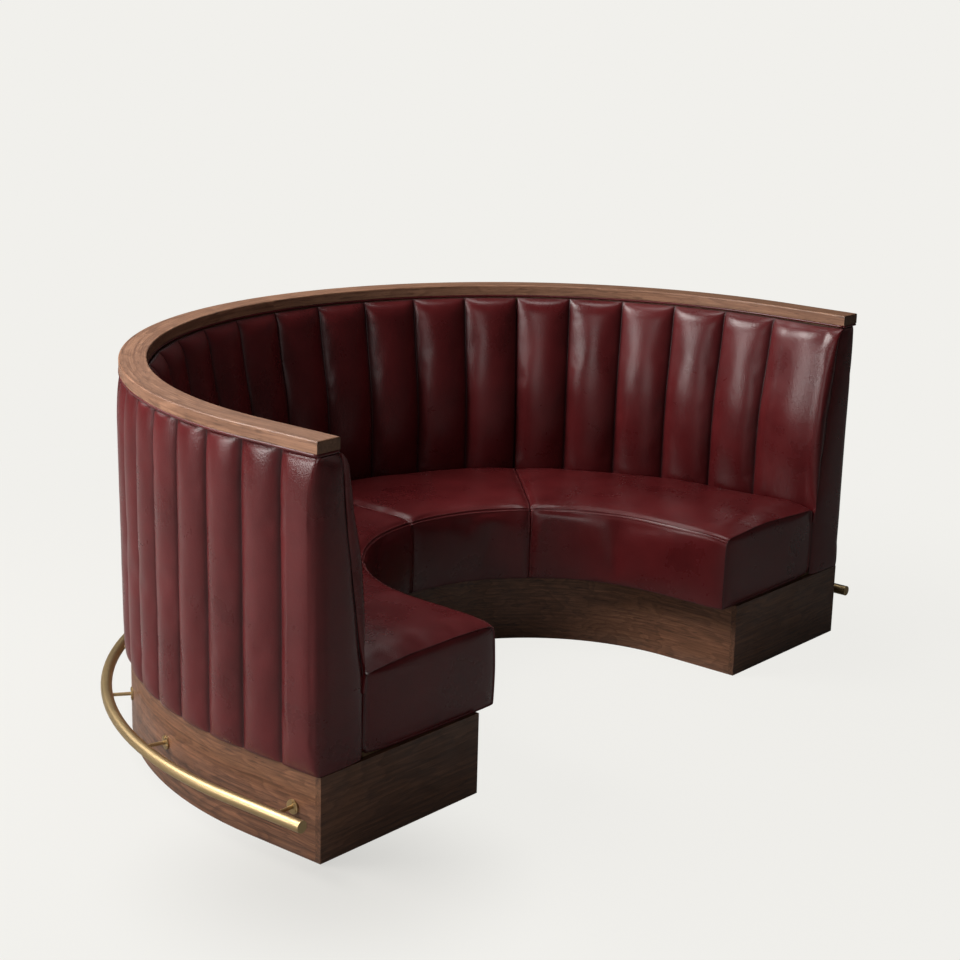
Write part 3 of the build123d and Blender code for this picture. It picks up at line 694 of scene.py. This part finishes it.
def finishCover(index, prefix, nodes, look, heights, front, back, wear):
    # The right arm is the left arm's mirror image. The foot and the top count as creases too, so they are
    # held and take the painted crease shade.
    if index == 3:
        front, back, wear = mirrored(front), mirrored(back), wear[::-1]
    top = smoothStep(cushionTop - cushion["edgeShadeWidth"], cushionTop, heights)
    foot = smoothStep(cushionFoot + cushion["edgeShadeWidth"], cushionFoot, heights)
    wear = np.maximum(wear, np.maximum(top, foot))
    front = soften(front, wear, look["seed"] + index, look["soft"])
    addCover(prefix + sideNames[index], nodes, look["fill"], front[::-1], back[::-1], wear[::-1])


def fluteSheet(look, flutes, start, pitch, heights, apex, depth, skin, side):
    # Front, back and wear of some flutes; wear is painted crease shade, how near a crease each point lies,
    # and the cover is also held by it. side is the way into their creases along the radius.
    t = crowded(look["columns"], cushion["columnPower"])
    runs, shares = [], []
    for k in flutes:
        part = t if k == flutes[0] else t[1:]
        runs.extend(start + (k + 0.5 + part / 2) * pitch)
        shares.extend(part)
    runs[0] -= cushion["press"]  # neighbours press a little into each other
    runs[-1] += cushion["press"]
    runs, shares = np.array(runs)[:, None], np.array(shares)[:, None]
    full = np.minimum(depth / look["depth"], 1)
    drop = fluteCurve(shares, look["round"]) * depth + creaseDip(1 - np.abs(shares), look) * full
    wear = np.exp(-(1 - np.abs(shares)) / look["creaseShadeReach"]) * np.ones_like(heights)
    front = place(runs, apex + side * drop, heights)
    return front, place(runs, skin, heights[[0, -1]]), wear


def addColumn(strip, front, back, wear):  # a column of the cover, its foot and top behind, its wear, which is painted crease shade
    strip["front"].append(front)
    strip["back"].append(back)
    strip["wear"].append(np.full(len(front), wear))


def withLead(strip, front, back, wear):  # the strip's columns stand before those of the whole flutes
    parts = ((strip["front"], front), (strip["back"], back), (strip["wear"], wear))
    return [np.concatenate([np.stack(columns), rest]) for columns, rest in parts]


def outerEnd(heights, pitch, apex, depth, pad):
    # The flute at the arm's end crosses the end, turns the corner, runs flat and rolls to its crease.
    flatEnd = pitch - outer["roll"]
    seam = innerProfile(heights)[2]
    corner = outer["corner"] * pad
    ends = heights[[0, -1]]
    deep, skin = outer["endDepth"], outer["skin"]
    middle, edge = outer["curlFrom"]
    strip = {"front": [], "back": [], "wear": []}
    for width, share in zip(outer["endWidths"], np.linspace(0, 1, len(outer["endWidths"]))):
        tuck = smoothStep(edge, 1.0, width)
        curl = outer["curl"][0] * tuck + outer["curl"][1] * smoothStep(middle, edge, width)
        across = (apex - corner) * (1 - width) + seam * width
        behind = seam[[0, -1]] * (1 - share) + skin * share
        # tuck darkens the end near its seam with painted crease shade
        addColumn(strip, place(curl, across, heights), place(deep, behind, ends), tuck)
    for turn in np.linspace(math.pi / 2, 0, outer["cornerPoints"]):
        radius = apex - corner * (1 - math.cos(turn))
        run = corner * (1 - math.sin(turn))
        addColumn(strip, place(run, radius, heights), place(deep, skin, ends), 0.0)
    part, count = outer["flatPart"], outer["flatPoints"]
    flats = np.linspace(outer["corner"] * part, pitch - outer["roll"] * part, count)
    for run, behind in zip(flats, np.linspace(deep, flatEnd, count)):
        bulge = outer["endBulge"] * math.sin(math.pi * run / flatEnd)
        addColumn(strip, place(run, apex + bulge * pad, heights), place(behind, skin, ends), 0.0)
    for share in (1 - crowded(outer["rollPoints"], cushion["columnPower"])[:-1]) / 2:
        run = pitch - share * outer["roll"]
        reach = share * outer["roll"] / (pitch / 2)
        radius = apex - fluteCurve(1 - share, outer["round"]) * depth - creaseDip(reach, outer)
        wear = math.exp(-reach / outer["creaseShadeReach"])
        addColumn(strip, place(run, radius, heights), place(run, skin, ends), wear)
    return strip


def makeOuterCushion(index):
    arm = index in (0, 3)
    share = rowShares(outer["rows"])
    heights = cushionFoot + share * (cushionTop - cushionFoot)
    pad, depth = smoothRows(outer["profileShares"], share)
    apex = outer["skin"] + pad * outer["pad"]
    depth = depth * outer["depth"]
    first = 0 if arm else index * outer["perSide"]
    flutes = range(1 if arm else first, first + outer["perSide"])
    pitch = booth["run"] / outer["count"]
    sheet = fluteSheet(outer, flutes, 0.0, pitch, heights, apex, depth, outer["skin"], -1)
    nodes = ["outer_cushion_" + sideNames[index]]
    if arm:
        sheet = withLead(outerEnd(heights, pitch, apex, depth, pad), *sheet)
        nodes.append("end_panel_left" if index == 0 else "end_panel_right")
    finishCover(index, "outer_back_", nodes, outer, heights, *sheet)


for index in range(4):
    makeOuterCushion(index)
print("outside cushions made")


# Inside of the back: wide flutes that lean, and one roll round each arm's end.
def innerEnd(heights, pitch):
    apex, depth, seam, skin = innerProfile(heights)
    full = np.minimum(depth / inner["depth"], 1)
    ends = heights[[0, -1]]
    skinEnds = skin[[0, -1]] - inner["skinGap"]
    least, gap = inner["behindSeam"]
    seamEnds = np.maximum(seam, apex + least)[[0, -1]] + gap
    strip = {"front": [], "back": [], "wear": []}
    for share in np.linspace(0, 1, inner["curlPoints"]):  # the back half of the roll, out of the seam
        turn = share * math.pi / 2
        run = inner["curlIn"] * (1 - math.sin(turn))
        radius = seam - (seam - apex) * inner["backPart"] * (1 - math.cos(turn))
        # painted crease shade fades out of the seam
        wear = smoothStep(inner["endShade"], 0.0, share)
        addColumn(strip, place(run, radius, heights), place(inner["endDepth"], seamEnds, ends), wear)
    for turn in np.linspace(0, math.pi / 2, inner["turnPoints"])[1:]:  # and round onto the front
        run = inner["armRoll"] * (1 - math.cos(turn))
        radius = apex + (seam - apex) * (1 - inner["backPart"]) * (1 - math.sin(turn))
        addColumn(strip, place(run, radius, heights), place(inner["endDepth"], skinEnds, ends), 0.0)
    flatEnd = booth["arm"] - inner["roll"]
    for run in np.linspace(inner["armRoll"] + inner["flatStart"], flatEnd, inner["flatPoints"]):
        along = (run - inner["armRoll"]) / (flatEnd - inner["armRoll"])
        bow = inner["armBow"] * math.sin(math.pi * along)
        behind = max(run, inner["endDepth"])
        addColumn(strip, place(run, apex - bow, heights), place(behind, skinEnds, ends), 0.0)
    half = inner["rollPoints"] // 2 + 1
    for share in 1 - crowded(inner["rollPoints"], cushion["columnPower"])[half:-1]:
        run = booth["arm"] - share * inner["roll"]
        reach = share * inner["roll"] / (pitch / 2)
        radius = apex + fluteCurve(1 - share, inner["round"]) * depth + creaseDip(reach, inner) * full
        wear = math.exp(-reach / inner["creaseShadeReach"])
        addColumn(strip, place(run, radius, heights), place(run, skinEnds, ends), wear)
    return strip


def makeInnerCushion(index):
    arm = index in (0, 3)
    heights = inner["foot"] + rowShares(inner["rows"]) * (cushionTop - inner["foot"])
    apex, depth, _, skin = innerProfile(heights)
    pitch = booth["capRadius"] * math.radians(inner["angle"])
    first = 0 if arm else index * inner["perSide"]
    flutes = range(first, first + inner["perSide"])
    skinEnds = skin[[0, -1]] - inner["skinGap"]
    sheet = fluteSheet(inner, flutes, booth["arm"], pitch, heights, apex, depth, skinEnds, 1)
    if arm:
        sheet = withLead(innerEnd(heights, pitch), *sheet)
    nodes = ["back_cushion_" + sideNames[index]]
    finishCover(index, "inner_back_", nodes, inner, heights, *(part[::-1] for part in sheet))


for index in range(4):
    makeInnerCushion(index)
print("inside cushions made")


# Seat: four crowned cushions with a felled front edge and double-stitched seams.
seat = {
    "angles": (180.0, 135.0, 90.0, 45.0, 0.0), "crown": 0.0077, "swell": 0.004, "nose": 0.030,
    "rearRound": 0.014, "rearDrop": 0.006, "seamDraw": 0.006, "endDraw": 0.012, "reach": 0.090,
    "seamGap": 0.0003, "endInset": 0.010, "fill": 0.75, "seeds": (51, 57, 61),
    # foot of the front: how far it stands out, how soon that fades, and how soon the painted shade at its
    # foot fades
    "footOut": 0.004, "footFade": 0.012, "footShade": 0.01,
    # heights of the front's points, its share of the height up to the nose, and degrees round the nose
    "frontShares": (0.0, 0.012, 0.04, 0.1, 0.22, 0.36, 0.5, 0.64, 0.78, 0.88, 0.95),
    "noseAngles": (0, 12, 22, 28, 31, 33.2, 36, 39, 41.8, 44.5, 47.5, 50.4, 54, 58, 63, 73, 84),
    "topPoints": 19, "rearAngles": (22, 45, 68, 90), "rearShares": (0.08, 0.3, 0.6, 0.9, 1.0),
    # felled edge: where its two ridges lie in radians, how wide, high and deep they are
    "fellRidges": (0.58, 0.88), "fellWidth": 0.075, "fellHeight": 0.0016, "fellGroove": 0.0016,
    "fellGrooveShare": 0.6,
    # columns near a seam, then plain ones about this far apart
    "near": (0, 0.0012, 0.0030, 0.0048, 0.0065, 0.0082, 0.0100, 0.013, 0.018, 0.026, 0.038, 0.055, 0.078),
    "plainFrom": 0.10, "plainStep": 0.040,
    # stitched seam: height, place and width of its ridge, depth and width of its valley
    "ridge": (0.0024, 0.0065, 0.0028), "valley": (0.0035, 0.0014),
    # painted shade in the felled edge's groove, in the seam and along its stitches
    "fellShade": 0.5, "seamShade": 0.0016, "stitchShade": (0.25, 0.011, 0.002), "edgeBand": 0.05,
    "core": 0.1, "calm": (0.3, 0.9),
    # noise scale and depth: wide, fine, and puckers that fade away from a seam
    "wide": ((5, 5, 5), 0.0035), "fine": ((16, 16, 16), 0.0010), "pucker": ((60, 60, 60), 0.0009, 0.035),
    # padded end face: share of the outline, setback and painted crease shade of each ring
    "endRings": (
        (0.998, 0.0100, 0.9), (0.990, 0.0065, 0.7), (0.984, 0.0090, 0.1), (0.970, 0.0105, 0.0),
        (0.93, 0.0070, 0.0), (0.84, 0.0035, 0.0), (0.66, 0.0012, 0.0), (0.40, 0.0004, 0.0), (0.12, 0.0, 0.0),
    ),
}


def hump(distance, width):  # 1 at no distance, falling off like a bell
    return math.exp(-((distance / width) ** 2))


def seatSection(draw):
    # Points of the section from the front's foot over the top to the back's foot, drawn in, with the painted
    # shade at each point.
    low = cushionFoot
    front = booth["seatFront"] + draw
    top = booth["seatTop"] - draw
    rear = booth["seatBack"]
    noseLow = top - seat["nose"]
    points, marks = [], []
    for s in seat["frontShares"]:
        foot = seat["footOut"] * math.exp(-s / seat["footFade"])
        points.append((front - seat["swell"] * 4 * s * (1 - s) + foot, low + s * (noseLow - low)))
        marks.append(math.exp(-s / seat["footShade"]))
    middle = sum(seat["fellRidges"]) / 2
    for a in np.radians(seat["noseAngles"]):
        ridges = sum(hump(a - b, seat["fellWidth"]) for b in seat["fellRidges"])
        groove = hump(a - middle, seat["fellWidth"] * seat["fellGrooveShare"])
        r = seat["nose"] + seat["fellHeight"] * ridges - seat["fellGroove"] * groove
        points.append((front + seat["nose"] - r * math.cos(a), noseLow + r * math.sin(a)))
        marks.append(seat["fellShade"] * groove)
    start = front + seat["nose"]
    rearTop = top - seat["rearDrop"]
    end = rear - seat["rearRound"]
    for s in np.linspace(0, 1, seat["topPoints"])[1:]:
        bow = seat["crown"] * 4 * s * (1 - s)
        points.append((start + s * (end - start), top + s * (rearTop - top) + bow))
        marks.append(0.0)
    for a in np.radians(seat["rearAngles"]):
        drop = seat["rearRound"] * (1 - math.cos(a))
        points.append((end + seat["rearRound"] * math.sin(a), rearTop - drop))
        marks.append(0.0)
    rearLow = rearTop - seat["rearRound"]
    for s in seat["rearShares"]:
        points.append((rear, rearLow + s * (low - rearLow)))
        marks.append(0.0)
    return np.array(points), np.array(marks)


def seatRuns(start, end):  # columns that crowd towards the seams
    near = np.array(seat["near"])
    inset = seat["plainFrom"]
    count = int((end - start - 2 * inset) / seat["plainStep"])
    return np.concatenate([start + near, np.linspace(start + inset, end - inset, count), end - near[::-1]])


def seamDraw(distance, amount):  # how far the cushion draws in near a seam
    reach = np.clip(distance / seat["reach"], 0, 1)
    return amount * (1 - reach) ** 3


def seamRidge(distance):  # lift and painted shade of the stitched leather beside a seam
    height, spot, width = seat["ridge"]
    depth, valley = seat["valley"]
    amount, line, spread = seat["stitchShade"]
    lift = height * hump(distance - spot, width) - depth * math.exp(-distance / valley)
    return lift, math.exp(-distance / seat["seamShade"]) + amount * hump(distance - line, spread)


def makeSeatCushion(index):
    plainEnds = (index != 0, index != 3)
    first, last = (angleRun(a) for a in seat["angles"][index:index + 2])
    first = first + seat["seamGap"] if plainEnds[0] else seat["endInset"]
    last = last - seat["seamGap"] if plainEnds[1] else booth["run"] - seat["endInset"]
    runs = seatRuns(first, last)
    middle = np.array([(booth["seatFront"] + booth["seatBack"]) / 2, booth["plinthTop"] + seat["core"]])
    columns, marks = [], []
    for run in runs:
        # dark sums the painted shade beside the seams at both ends
        draw, lift, dark = 0.0, 0.0, 0.0
        for distance, plain in zip((run - first, last - run), plainEnds):
            draw += seamDraw(distance, seat["seamDraw" if plain else "endDraw"])
            if plain:
                up, paintedShade = seamRidge(distance)
                lift += up
                dark += paintedShade
        section, paintedShade = seatSection(float(draw))
        outward = section - middle
        outward[:, 0] = np.where(section[:, 0] < booth["seatFront"] + seat["edgeBand"], outward[:, 0], 0)
        outward[:, 1] = np.where(section[:, 1] > booth["seatTop"] - seat["edgeBand"], outward[:, 1], 0)
        length = np.maximum(np.linalg.norm(outward, axis=1, keepdims=True), 1e-6)
        section = section + outward / length * lift
        columns.append(place(run, section[:, 0], section[:, 1]))
        marks.append(np.clip(paintedShade + dark, 0, 1))
    front = np.stack(columns)
    # the seat's wear is its painted shade
    wear = np.stack(marks)
    normal = sheetNormals(front)
    calm = 1 - smoothStep(*seat["calm"], wear)
    wideSeed, fineSeed, puckerSeed = (seed + index for seed in seat["seeds"])
    (wideScale, wideDepth), (fineScale, fineDepth) = seat["wide"], seat["fine"]
    puckerScale, puckerDepth, puckerReach = seat["pucker"]
    slow = noiseField(front, wideScale, wideSeed) * wideDepth
    slow = slow + noiseField(front, fineScale, fineSeed) * fineDepth
    nearSeam = np.exp(-np.minimum(runs - first, last - runs) / puckerReach)[:, None]
    pucker = noiseField(front, puckerScale, puckerSeed) * puckerDepth * nearSeam
    front = front + normal * ((slow + pucker) * calm)[..., None]
    name = sideNames[index]
    addCover("seat_" + name, ["seat_cushion_" + name], seat["fill"], front, index, wear, closedSeat)


def closedSeat(name, front, index, wear):
    # Closed with a floor under the cushion, and at an arm's end with a padded face.
    columnCount, rows = front.shape[:2]
    vertices = list(front.reshape(-1, 3))
    faces = sheetFaces(columnCount, rows)
    for c in range(columnCount - 1):
        k = c * rows
        faces.append((k + rows, k, k + rows - 1, k + 2 * rows - 1))
    values = list(wear.reshape(-1))
    for c, isEnd in ((0, index == 0), (columnCount - 1, index == 3)):
        loop = [c * rows + r for r in range(rows)]
        if c:
            loop = loop[::-1]
        if not isEnd:
            faces.append(loop)
            continue
        centre = sum((Vector(vertices[k]) for k in loop), Vector()) / len(loop)
        ring = loop
        for scale, inset, paintedShade in seat["endRings"]:
            fresh = []
            for k in loop:
                p = centre + (Vector(vertices[k]) - centre) * scale
                p.y = capBox[0].y + inset
                vertices.append(np.array(p))
                values.append(paintedShade)
                fresh.append(len(vertices) - 1)
            for k in range(len(ring)):
                n = (k + 1) % len(ring)
                faces.append((ring[k], ring[n], fresh[n], fresh[k]))
            ring = fresh
        faces.append(ring)
    piece = makeMesh(name, vertices, faces)
    faceValues(piece, "crease", values)
    return piece


for index in range(4):
    makeSeatCushion(index)
print("seat cushions made")


# The covers are blown up a little over their padding, held at their seams.
cloth = {
    "frames": 16, "quality": 6, "mass": 0.4, "pressure": 3.0, "slack": -0.002, "stiffness": 30.0,
    "bending": 6.0, "heldNearCrease": 0.55, "cap": 0.004,
}


def makeSheet(cover):
    faces = sheetFaces(*cover["front"].shape[:2])
    sheet = makeMesh("cover_" + cover["name"], cover["front"].reshape(-1, 3), faces)
    held = cover["wear"] > cloth["heldNearCrease"]
    held[[0, 1, -1, -2], :] = True
    held[:, [0, 1, -1, -2]] = True
    group = sheet.vertex_groups.new(name="held")
    group.add([int(k) for k in np.flatnonzero(held.reshape(-1))], 1.0, "REPLACE")
    modifier = sheet.modifiers.new("cover", "CLOTH")
    settings = modifier.settings
    settings.quality = cloth["quality"]
    settings.mass = cloth["mass"]
    settings.tension_stiffness = settings.compression_stiffness = cloth["stiffness"]
    settings.shear_stiffness = cloth["stiffness"] / 2
    settings.bending_stiffness = cloth["bending"]
    settings.use_pressure = True
    settings.uniform_pressure_force = cloth["pressure"]
    settings.use_pressure_volume = True
    settings.target_volume = 0.0
    settings.shrink_min = cloth["slack"]
    settings.vertex_group_mass = "held"
    settings.effector_weights.gravity = 0.0
    modifier.collision_settings.use_collision = False
    modifier.collision_settings.use_self_collision = False
    modifier.point_cache.frame_end = cloth["frames"]
    return sheet


def settleCovers():
    sheets = [makeSheet(cover) for cover in covers]
    scene = bpy.context.scene
    for number in range(1, cloth["frames"] + 1):
        scene.frame_set(number)
    graph = bpy.context.evaluated_depsgraph_get()
    for cover, sheet in zip(covers, sheets):
        settled = sheet.evaluated_get(graph).to_mesh()
        flat = np.empty(len(settled.vertices) * 3, dtype=np.float32)
        settled.vertices.foreach_get("co", flat)
        move = flat.reshape(cover["front"].shape) - cover["front"]
        length = np.linalg.norm(move, axis=-1, keepdims=True)
        print("settled", cover["name"], "by at most", round(float(length.max()) * 1000, 1), "mm")
        cover["front"] = cover["front"] + move * np.minimum(1, cloth["cap"] / np.maximum(length, 1e-9))
    for sheet in sheets:
        mesh = sheet.data
        bpy.data.objects.remove(sheet)
        bpy.data.meshes.remove(mesh)
    scene.frame_set(1)


settleCovers()
for cover in covers:
    piece = cover["close"](cover["name"], cover["front"], cover["back"], cover["wear"])
    subdivide(piece)
    dress(piece, leather, "leather", *cover["nodes"])
print("covers settled and closed")


# A leather flap closes the gap between the seat and the foot of the inside cushions; its crease value
# darkens it with painted shade.
flap = {
    "top": 0.441, "thickness": 0.002, "radii": (1.036, 1.081), "inset": 0.016, "step": 0.03, "crease": 0.6,
}


def makeFlap():
    near, far = flap["radii"]
    low = flap["top"] - flap["thickness"]
    corners = ((near, flap["top"]), (far, flap["top"]), (far, low), (near, low))
    count = int(booth["run"] / flap["step"])
    runs = np.linspace(flap["inset"], booth["run"] - flap["inset"], count)
    vertices, faces = [], []
    addTube(vertices, faces, [[place(run, *corner) for corner in corners] for run in runs])
    piece = makeMesh("seat_back_flap", vertices, faces, False)
    faceValues(piece, "crease", np.full(len(vertices), flap["crease"]))
    dress(piece, leather, "leather")


makeFlap()
print("flap behind the seat made")


# Stitches lie along the ridges of the seat's front edge and seams.
stitches = {
    "length": 0.0052, "gap": 0.0024, "radius": 0.0005, "sides": 6, "seamColumn": 5,
    # share of the length, size and lift of each ring
    "rings": ((0.0, 0.45, -0.3), (0.28, 1.0, 0.6), (0.72, 1.0, 0.6), (1.0, 0.45, -0.3)),
}


def layStitches(lines):  # each line is a row of points with the surface's normals there
    vertices, faces = [], []
    turns = np.linspace(0, 2 * math.pi, stitches["sides"], endpoint=False)
    shares, sizes, lifts = np.array(stitches["rings"]).T
    radius = stitches["radius"]
    pitch = stitches["length"] + stitches["gap"]
    for points, normals in lines:
        along = np.concatenate([[0], np.cumsum(np.linalg.norm(np.diff(points, axis=0), axis=1))])
        for k in range(int(along[-1] / pitch)):
            places = k * pitch + shares * stitches["length"]
            spots = np.stack([np.interp(places, along, points[:, c]) for c in range(3)], -1)
            up = np.array([np.interp(places.mean(), along, normals[:, c]) for c in range(3)])
            ahead = spots[-1] - spots[0]
            side = np.cross(ahead, up)
            side /= np.linalg.norm(side)
            up = np.cross(side, ahead)
            up /= np.linalg.norm(up)
            rings = []
            for spot, size, lift in zip(spots, sizes, lifts):
                reach = radius * size
                rings.append([
                    spot + up * (radius * lift + reach * math.sin(turn)) + side * reach * math.cos(turn)
                    for turn in turns
                ])
            addTube(vertices, faces, rings)
    return vertices, faces


def stitchSeat(cover, index):
    front = cover["front"]
    normals = sheetNormals(front)
    angles = np.radians(seat["noseAngles"])
    lines = []
    for ridge in seat["fellRidges"]:
        row = len(seat["frontShares"]) + int(np.argmin(np.abs(angles - ridge)))
        lines.append((front[2:-2, row], normals[2:-2, row]))
    column = stitches["seamColumn"]
    for end, plain in ((column, index != 0), (-1 - column, index != 3)):
        if plain:
            lines.append((front[end, 2:-9], normals[end, 2:-9]))
    piece = makeMesh("seat_stitches_" + sideNames[index], *layStitches(lines))
    dress(piece, thread, "leather")


for index, cover in enumerate(cover for cover in covers if cover["name"].startswith("seat_")):
    stitchSeat(cover, index)
print("seat stitched")


# Piping under the cap.
piping = {
    "radius": 0.004, "inset": 0.003, "sides": 14, "step": 0.012, "gap": 0.0003, "endPoints": 12,
    "wobble": (0.0004, 5, 9, 0.3),
}


def makeTube(path):
    ahead = np.gradient(path, axis=0)
    ahead /= np.linalg.norm(ahead, axis=1, keepdims=True)
    side = np.cross(ahead, (0, 0, 1.0))
    side /= np.linalg.norm(side, axis=1, keepdims=True)
    up = np.cross(side, ahead)
    angles = np.linspace(0, 2 * math.pi, piping["sides"], endpoint=False)
    ring = side[:, None] * np.cos(angles)[None, :, None] + up[:, None] * np.sin(angles)[None, :, None]
    vertices, faces = [], []
    addTube(vertices, faces, path[:, None] + ring * piping["radius"])
    return vertices, faces


def makePiping():
    height = booth["capBottom"] - piping["gap"] - piping["radius"]
    start = piping["inset"]
    outerRadius = booth["capRadius"] - start
    innerRadius = booth["capRadius"] - booth["capWidth"] + start
    amount, runScale, radiusScale, level = piping["wobble"]
    runs = np.arange(start, booth["run"] - start, piping["step"])
    lines = []
    sides = (("outside", outerRadius, "welt_outer"), ("inside", innerRadius, "welt_inner"))
    for name, radius, replaced in sides:
        spots = (Vector((run * runScale, radius * radiusScale, level)) for run in runs)
        wobble = amount * np.array([noise.noise(spot) for spot in spots])
        lines.append((name, place(runs, radius + wobble, height), replaced))
    radii = np.linspace(innerRadius, outerRadius, piping["endPoints"])
    for name, run in (("end_left", start), ("end_right", booth["run"] - start)):
        lines.append((name, place(run, radii, height), "welt_ends"))
    for name, path, replaced in lines:
        vertices, faces = makeTube(path)
        piece = makeMesh("piping_" + name, vertices, faces)
        faceValues(piece, "crease", np.zeros(len(vertices)))
        dress(piece, pipingLeather, "piping", replaced)


makePiping()
print("piping made")


# Better finishes on the solid pieces.
finishes = (
    (("cap_rail_",), capWalnut),
    (("plinth_outer_panel", "plinth_front_panel"), plinthWalnut),
    (("plinth_end_",), shadedEndWalnut),
    (("foot_rail", "rail_end_cap_", "rail_posts", "rail_flanges", "flange_screws"), brass),
    (("cap_screws", "leveller_nuts", "levelling_foot_"), steel),
    (("cap_dowels",), dowelWood),
)
for name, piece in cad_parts.items():
    finish = plywood
    for starts, material in finishes:
        if name.startswith(starts):
            finish = material
    for holder in piece.material_slots:
        holder.material = finish
    if not piece.material_slots:
        print("no material slot on", name)
print("finishes placed")


# Floor, light and camera.
stageLook = {
    "floorSize": 400.0, "pale": (0.880, 0.871, 0.838), "glossShare": 0.04, "plainShare": 0.35,
    "fill": (1, 0.98, 0.95), "fillStrength": 0.010,
    # centre, fade from and to, share taken from the plain pale and share lit by the lamps. The first is a
    # painted shadow in front of the near corner, deepened by the lamps' own shadow; the second lets the
    # lamps' shadow show faintly round the booth.
    "shades": (
        ((-1.25, -0.83, 0.0), (0.05, 0.60), 0.25, 0.10),
        ((0.0, 0.0, 0.0), (1.2, 3.0), 0.06, 0.05),
    ),
}


def paleSeen(tree):  # 1 for the rays that see the plain pale, a little for reflections
    rays = node(tree, "ShaderNodeLightPath").outputs
    glossy = times(tree, rays["Is Glossy Ray"], stageLook["glossShare"])
    through = calc(tree, "MAXIMUM", glossy, rays["Is Transmission Ray"])
    return calc(tree, "MAXIMUM", rays["Is Camera Ray"], through)


def makeFloor():
    half = stageLook["floorSize"]
    corners = [(-half, -half, 0), (half, -half, 0), (half, half, 0), (-half, half, 0)]
    piece = makeMesh("studio_floor", corners, [(0, 1, 2, 3)], False)
    material, tree = newMaterial("studioFloor")
    seen = paleSeen(tree)
    spot = objectPoint(tree)
    plainShare, litShare = 1.0, 0.0
    # Where a shade takes more of the pale than the lamps give back, the floor carries painted shadow.
    for centre, fade, taken, given in stageLook["shades"]:
        away = vectorMath(tree, "DISTANCE", spot, centre)["Value"]
        near = minus(tree, 1.0, ramp(tree, away, *fade, "SMOOTHSTEP"))
        plainShare = minus(tree, plainShare, times(tree, near, taken))
        litShare = plus(tree, litShare, times(tree, near, given))
    pale = stageLook["pale"]
    glow = node(tree, "ShaderNodeEmission", {"Color": (*pale, 1), "Strength": plainShare})
    lit = node(tree, "ShaderNodeBsdfDiffuse", {"Color": mixColour(tree, litShare, (0, 0, 0), pale)})
    both = node(tree, "ShaderNodeAddShader", {0: glow.outputs[0], 1: lit.outputs[0]})
    plain = node(tree, "ShaderNodeBsdfDiffuse", {"Color": (*(c * stageLook["plainShare"] for c in pale), 1)})
    mixed = node(tree, "ShaderNodeMixShader", {0: seen, 1: plain.outputs[0], 2: both.outputs[0]})
    node(tree, "ShaderNodeOutputMaterial", {"Surface": mixed.outputs[0]})
    piece.data.materials.append(material)


def makeWorld():
    world = bpy.data.worlds.new("studio")
    bpy.context.scene.world = world
    world.use_nodes = True
    tree = world.node_tree
    tree.nodes.clear()
    seen = paleSeen(tree)
    pale = node(tree, "ShaderNodeBackground", {"Color": (*stageLook["pale"], 1), "Strength": 1.0})
    fill = {"Color": (*stageLook["fill"], 1), "Strength": stageLook["fillStrength"]}
    fill = node(tree, "ShaderNodeBackground", fill)
    mixed = node(tree, "ShaderNodeMixShader", {0: seen, 1: fill.outputs[0], 2: pale.outputs[0]})
    node(tree, "ShaderNodeOutputWorld", {"Surface": mixed.outputs[0]})


lampLook = {
    "distance": 5.5, "aimHeight": 0.6,
    # name, direction it stands in (azimuth from +X, elevation), size, power, colour
    "lamps": (
        ("key", 139, 45, (3.0, 2.1), 352, (1.0, 0.975, 0.95)),
        ("low", 163, 13, (2.8, 1.1), 128, (1.0, 0.98, 0.96)),
        ("back", 110, 24, (1.9, 1.9), 30, (1.0, 0.98, 0.96)),
        ("rim", 60, 50, (1.9, 1.9), 34, (1.0, 0.98, 0.96)),
        ("top", 0, 88, (1.9, 1.9), 64, (1.0, 0.99, 0.97)),
        ("front", 212, 17, (1.4, 1.9), 28, (1.0, 0.98, 0.96)),
    ),
}


def makeLights():
    for name, azimuth, elevation, size, power, colour in lampLook["lamps"]:
        data = bpy.data.lights.new(name, "AREA")
        data.shape = "RECTANGLE"
        data.size, data.size_y = size
        data.energy = power
        data.color = colour
        lamp = bpy.data.objects.new(name, data)
        bpy.context.scene.collection.objects.link(lamp)
        a, e = math.radians(azimuth), math.radians(elevation)
        away = Vector((math.cos(a) * math.cos(e), math.sin(a) * math.cos(e), math.sin(e)))
        lamp.location = Vector((0, 0, lampLook["aimHeight"])) + away * lampLook["distance"]
        lamp.rotation_euler = (-away).to_track_quat("-Z", "Y").to_euler()


cameraView = {
    "position": (-4.4452, -3.9447, 2.1921), "lens": 76.07, "sensor": 36.0, "clipEnd": 200,
    "yaw": 50.187, "pitch": -14.961, "roll": 1.489,
}


def makeCamera():
    data = bpy.data.cameras.new("camera")
    data.lens = cameraView["lens"]
    data.sensor_width = cameraView["sensor"]
    camera = bpy.data.objects.new("camera", data)
    bpy.context.scene.collection.objects.link(camera)
    yaw, pitch, roll = (math.radians(cameraView[key]) for key in ("yaw", "pitch", "roll"))
    ahead = Vector((math.sin(yaw) * math.cos(pitch), math.cos(yaw) * math.cos(pitch), math.sin(pitch)))
    right = Vector((math.cos(yaw), -math.sin(yaw), 0))
    up = right.cross(ahead)
    turnedRight = right * math.cos(roll) + up * math.sin(roll)
    turnedUp = up * math.cos(roll) - right * math.sin(roll)
    turn = Matrix((turnedRight, turnedUp, -ahead)).transposed()
    camera.matrix_world = Matrix.Translation(cameraView["position"]) @ turn.to_4x4()
    data.clip_end = cameraView["clipEnd"]
    bpy.context.scene.camera = camera


makeFloor()
makeWorld()
makeLights()
makeCamera()
bpy.context.scene.view_settings.view_transform = "Standard"
print("stage set")

bpy.context.view_layer.update()
